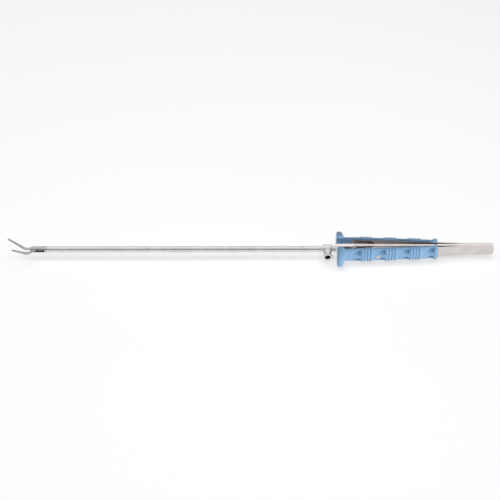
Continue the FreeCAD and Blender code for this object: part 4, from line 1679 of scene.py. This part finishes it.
@dataclass
class Studio:
    """A white sweep with soft light, and the camera at the photograph's angle.

    The floor's glow and grey near the object fade into plain white between the distances of
    floor_fade, in metres. A row of mirrored is (angle, brightness): how bright the world is in
    the steel's reflections, by the angle from the near side's horizon over the top to the far one.
    """

    target: Corner = (-58.0, 0.0, -1.06)
    distance: float = 1000.0
    elevation: float = 45.0
    roll: float = 0.06
    lens: float = 90.0
    sensor: float = 36.0
    sight: float = 20.0
    floor_gap: float = 0.05
    floor_reach: float = 4.0
    floor_rough: float = 0.9
    floor_glow: float = 0.55
    floor_grey: float = 0.4
    floor_fade: Point = (0.42, 1.0)
    sky: float = 0.1
    mirrored: tuple[Point, ...] = ((0.0, 0.8), (12.0, 0.6), (32.0, 0.38), (54.0, 0.36), (66.0, 1.0),
                                   (100.0, 1.05), (135.0, 1.15), (160.0, 0.8), (180.0, 0.35))
    lamps: tuple[Lamp, ...] = (Lamp("side_softbox", (0.8, -0.85, 0.03), (0.6, 0.06), 10.5),
                               Lamp("front_softbox", (-0.06, -0.45, 0.78), (1.0, 0.3), 3.9),
                               Lamp("back_softbox", (-0.5, 0.95, 0.06), (0.8, 0.1), 4.0),
                               Lamp("shadow_softbox", (-0.06, 0.12, 0.9), (1.4, 0.5), 7.4, True))

    def build(self) -> None:
        """Sets the floor, the world, the lamps and the camera."""
        bpy.context.scene.view_settings.view_transform = "Standard"
        floor = self.build_floor()
        self.build_world()
        for lamp in self.lamps:
            self.hang(lamp, floor)
        self.build_camera()

    def build_floor(self) -> Piece:
        """A white floor that shows white to the camera and keeps the object's shadow.

        Returns:
            The floor.
        """
        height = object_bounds()[0][2] - self.floor_gap * MM
        data = bpy.data.meshes.new("floor")
        edge = self.floor_reach
        corners = [(*corner, height) for corner in oblong((-edge, -edge), (edge, edge))]
        data.from_pydata(corners, [], [(0, 1, 2, 3)])
        floor = bpy.data.objects.new("floor", data)
        bpy.context.scene.collection.objects.link(floor)
        shader = Shader("floor_white")
        rays = shader.add("ShaderNodeLightPath").outputs
        away = shader.add("ShaderNodeVectorMath", {0: shader.place}, operation="LENGTH").outputs["Value"]
        glow, grey = (shader.mapped(away, self.floor_fade, ends, eased=True)
                      for ends in ((self.floor_glow, 1.0), (self.floor_grey, 0.0)))
        direct = shader.maths("MAXIMUM", rays["Is Camera Ray"], rays["Is Glossy Ray"])
        shader.set(Base_Color=grey, Roughness=self.floor_rough, Specular_IOR_Level=0.0, Emission_Color=WHITE,
                   Emission_Strength=shader.maths("MULTIPLY", direct, glow))
        data.materials.append(shader.material)
        floor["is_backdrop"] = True
        return floor

    def build_world(self) -> None:
        """A white world with a long grey card behind the camera, which the steel mirrors."""
        world = bpy.data.worlds.new("studio")
        bpy.context.scene.world = world
        world.use_nodes = True
        world.node_tree.nodes.clear()
        nodes = Nodes(world.node_tree)
        rays = nodes.add("ShaderNodeLightPath").outputs
        way = nodes.add("ShaderNodeTexCoord").outputs["Generated"]
        way = nodes.add("ShaderNodeSeparateXYZ", {0: way}).outputs
        turn = nodes.maths("ARCTAN2", way["Z"], nodes.maths("MULTIPLY", way["Y"], -1.0))
        band = nodes.add("ShaderNodeFloatCurve", {"Value": nodes.maths("DIVIDE", turn, math.pi)})
        curve = band.mapping.curves[0]
        peak = max(strength for _, strength in self.mirrored)
        points = [(angle / 180, strength / peak) for angle, strength in self.mirrored]
        curve.points[0].location, curve.points[1].location = points[0], points[-1]
        for point in points[1:-1]:
            curve.points.new(*point)
        for point in curve.points:
            point.handle_type = "VECTOR"
        band.mapping.update()
        plain, mirror, glow = (
            nodes.add("ShaderNodeBackground", {"Color": WHITE, "Strength": strength}).outputs[0]
            for strength in (self.sky, nodes.maths("MULTIPLY", band.outputs[0], peak), 1.0))
        shiny = nodes.maths("MAXIMUM", rays["Is Glossy Ray"], rays["Is Transmission Ray"])
        unseen = nodes.add("ShaderNodeMixShader", {0: shiny, 1: plain, 2: mirror}).outputs[0]
        seen = nodes.add("ShaderNodeMixShader", {0: rays["Is Camera Ray"], 1: unseen, 2: glow}).outputs[0]
        nodes.add("ShaderNodeOutputWorld", {"Surface": seen})

    def hang(self, lamp: Lamp, floor: Piece) -> None:
        """Hangs a lamp, turned to the object and not mirrored in its steel.

        Args:
            lamp: the lamp's sizes.
            floor: the floor, for a lamp that lights nothing else.
        """
        light = bpy.data.lights.new(lamp.name, "AREA")
        light.shape = "RECTANGLE"
        light.size, light.size_y = lamp.size
        light.energy = lamp.watts
        holder = bpy.data.objects.new(lamp.name, light)
        holder.location = lamp.spot
        aim = Vector((self.target[0] * MM, 0, 0)) - Vector(lamp.spot)
        holder.rotation_euler = aim.to_track_quat("-Z", "Y").to_euler()
        holder.visible_glossy = False
        bpy.context.scene.collection.objects.link(holder)
        if lamp.floor_only:
            lit = bpy.data.collections.new("lit_from_overhead")
            lit.objects.link(floor)
            holder.light_linking.receiver_collection = lit

    def build_camera(self) -> None:
        """The camera, in front of the object and 45 degrees above it."""
        lens = bpy.data.cameras.new("camera")
        lens.lens = self.lens
        lens.sensor_width = self.sensor
        lens.clip_end = self.sight
        camera = bpy.data.objects.new("camera", lens)
        tilt = math.radians(self.elevation)
        away = Vector((0, -math.cos(tilt), math.sin(tilt)))
        camera.location = Vector(self.target) * MM + away * self.distance * MM
        roll = Matrix.Rotation(-math.radians(self.roll), 3, "Z")
        camera.rotation_euler = ((-away).to_track_quat("-Z", "Y").to_matrix() @ roll).to_euler()
        bpy.context.scene.collection.objects.link(camera)
        bpy.context.scene.camera = camera


def pivot_of(frame: dict, joint: str) -> Vector:
    """Where a joint turns, in millimetres."""
    found = next(entry for entry in frame["joints"] if entry["name"] == joint)
    return Vector(found["pos_m"]) / MM


def main() -> None:
    """Builds the studio, then every sub-assembly around the frame."""
    logging.basicConfig(level=logging.INFO, format="%(name)s %(message)s")
    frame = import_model()
    finishes = Finishes.mixed_up()
    Studio().build()
    for part in (ShaftTube(finishes), FlushFitting(finishes), CentreBar(finishes),
                 Spring(finishes, Side.FAR), Spring(finishes, Side.NEAR), Grip(finishes), GripScrew(finishes),
                 TailRivets(finishes), Jaws(finishes, pivot_of(frame, "jaw_hinge")),
                 InnerWorks(finishes, frame["nodes"])):
        part.build()


if __name__ == "__main__":
    main()
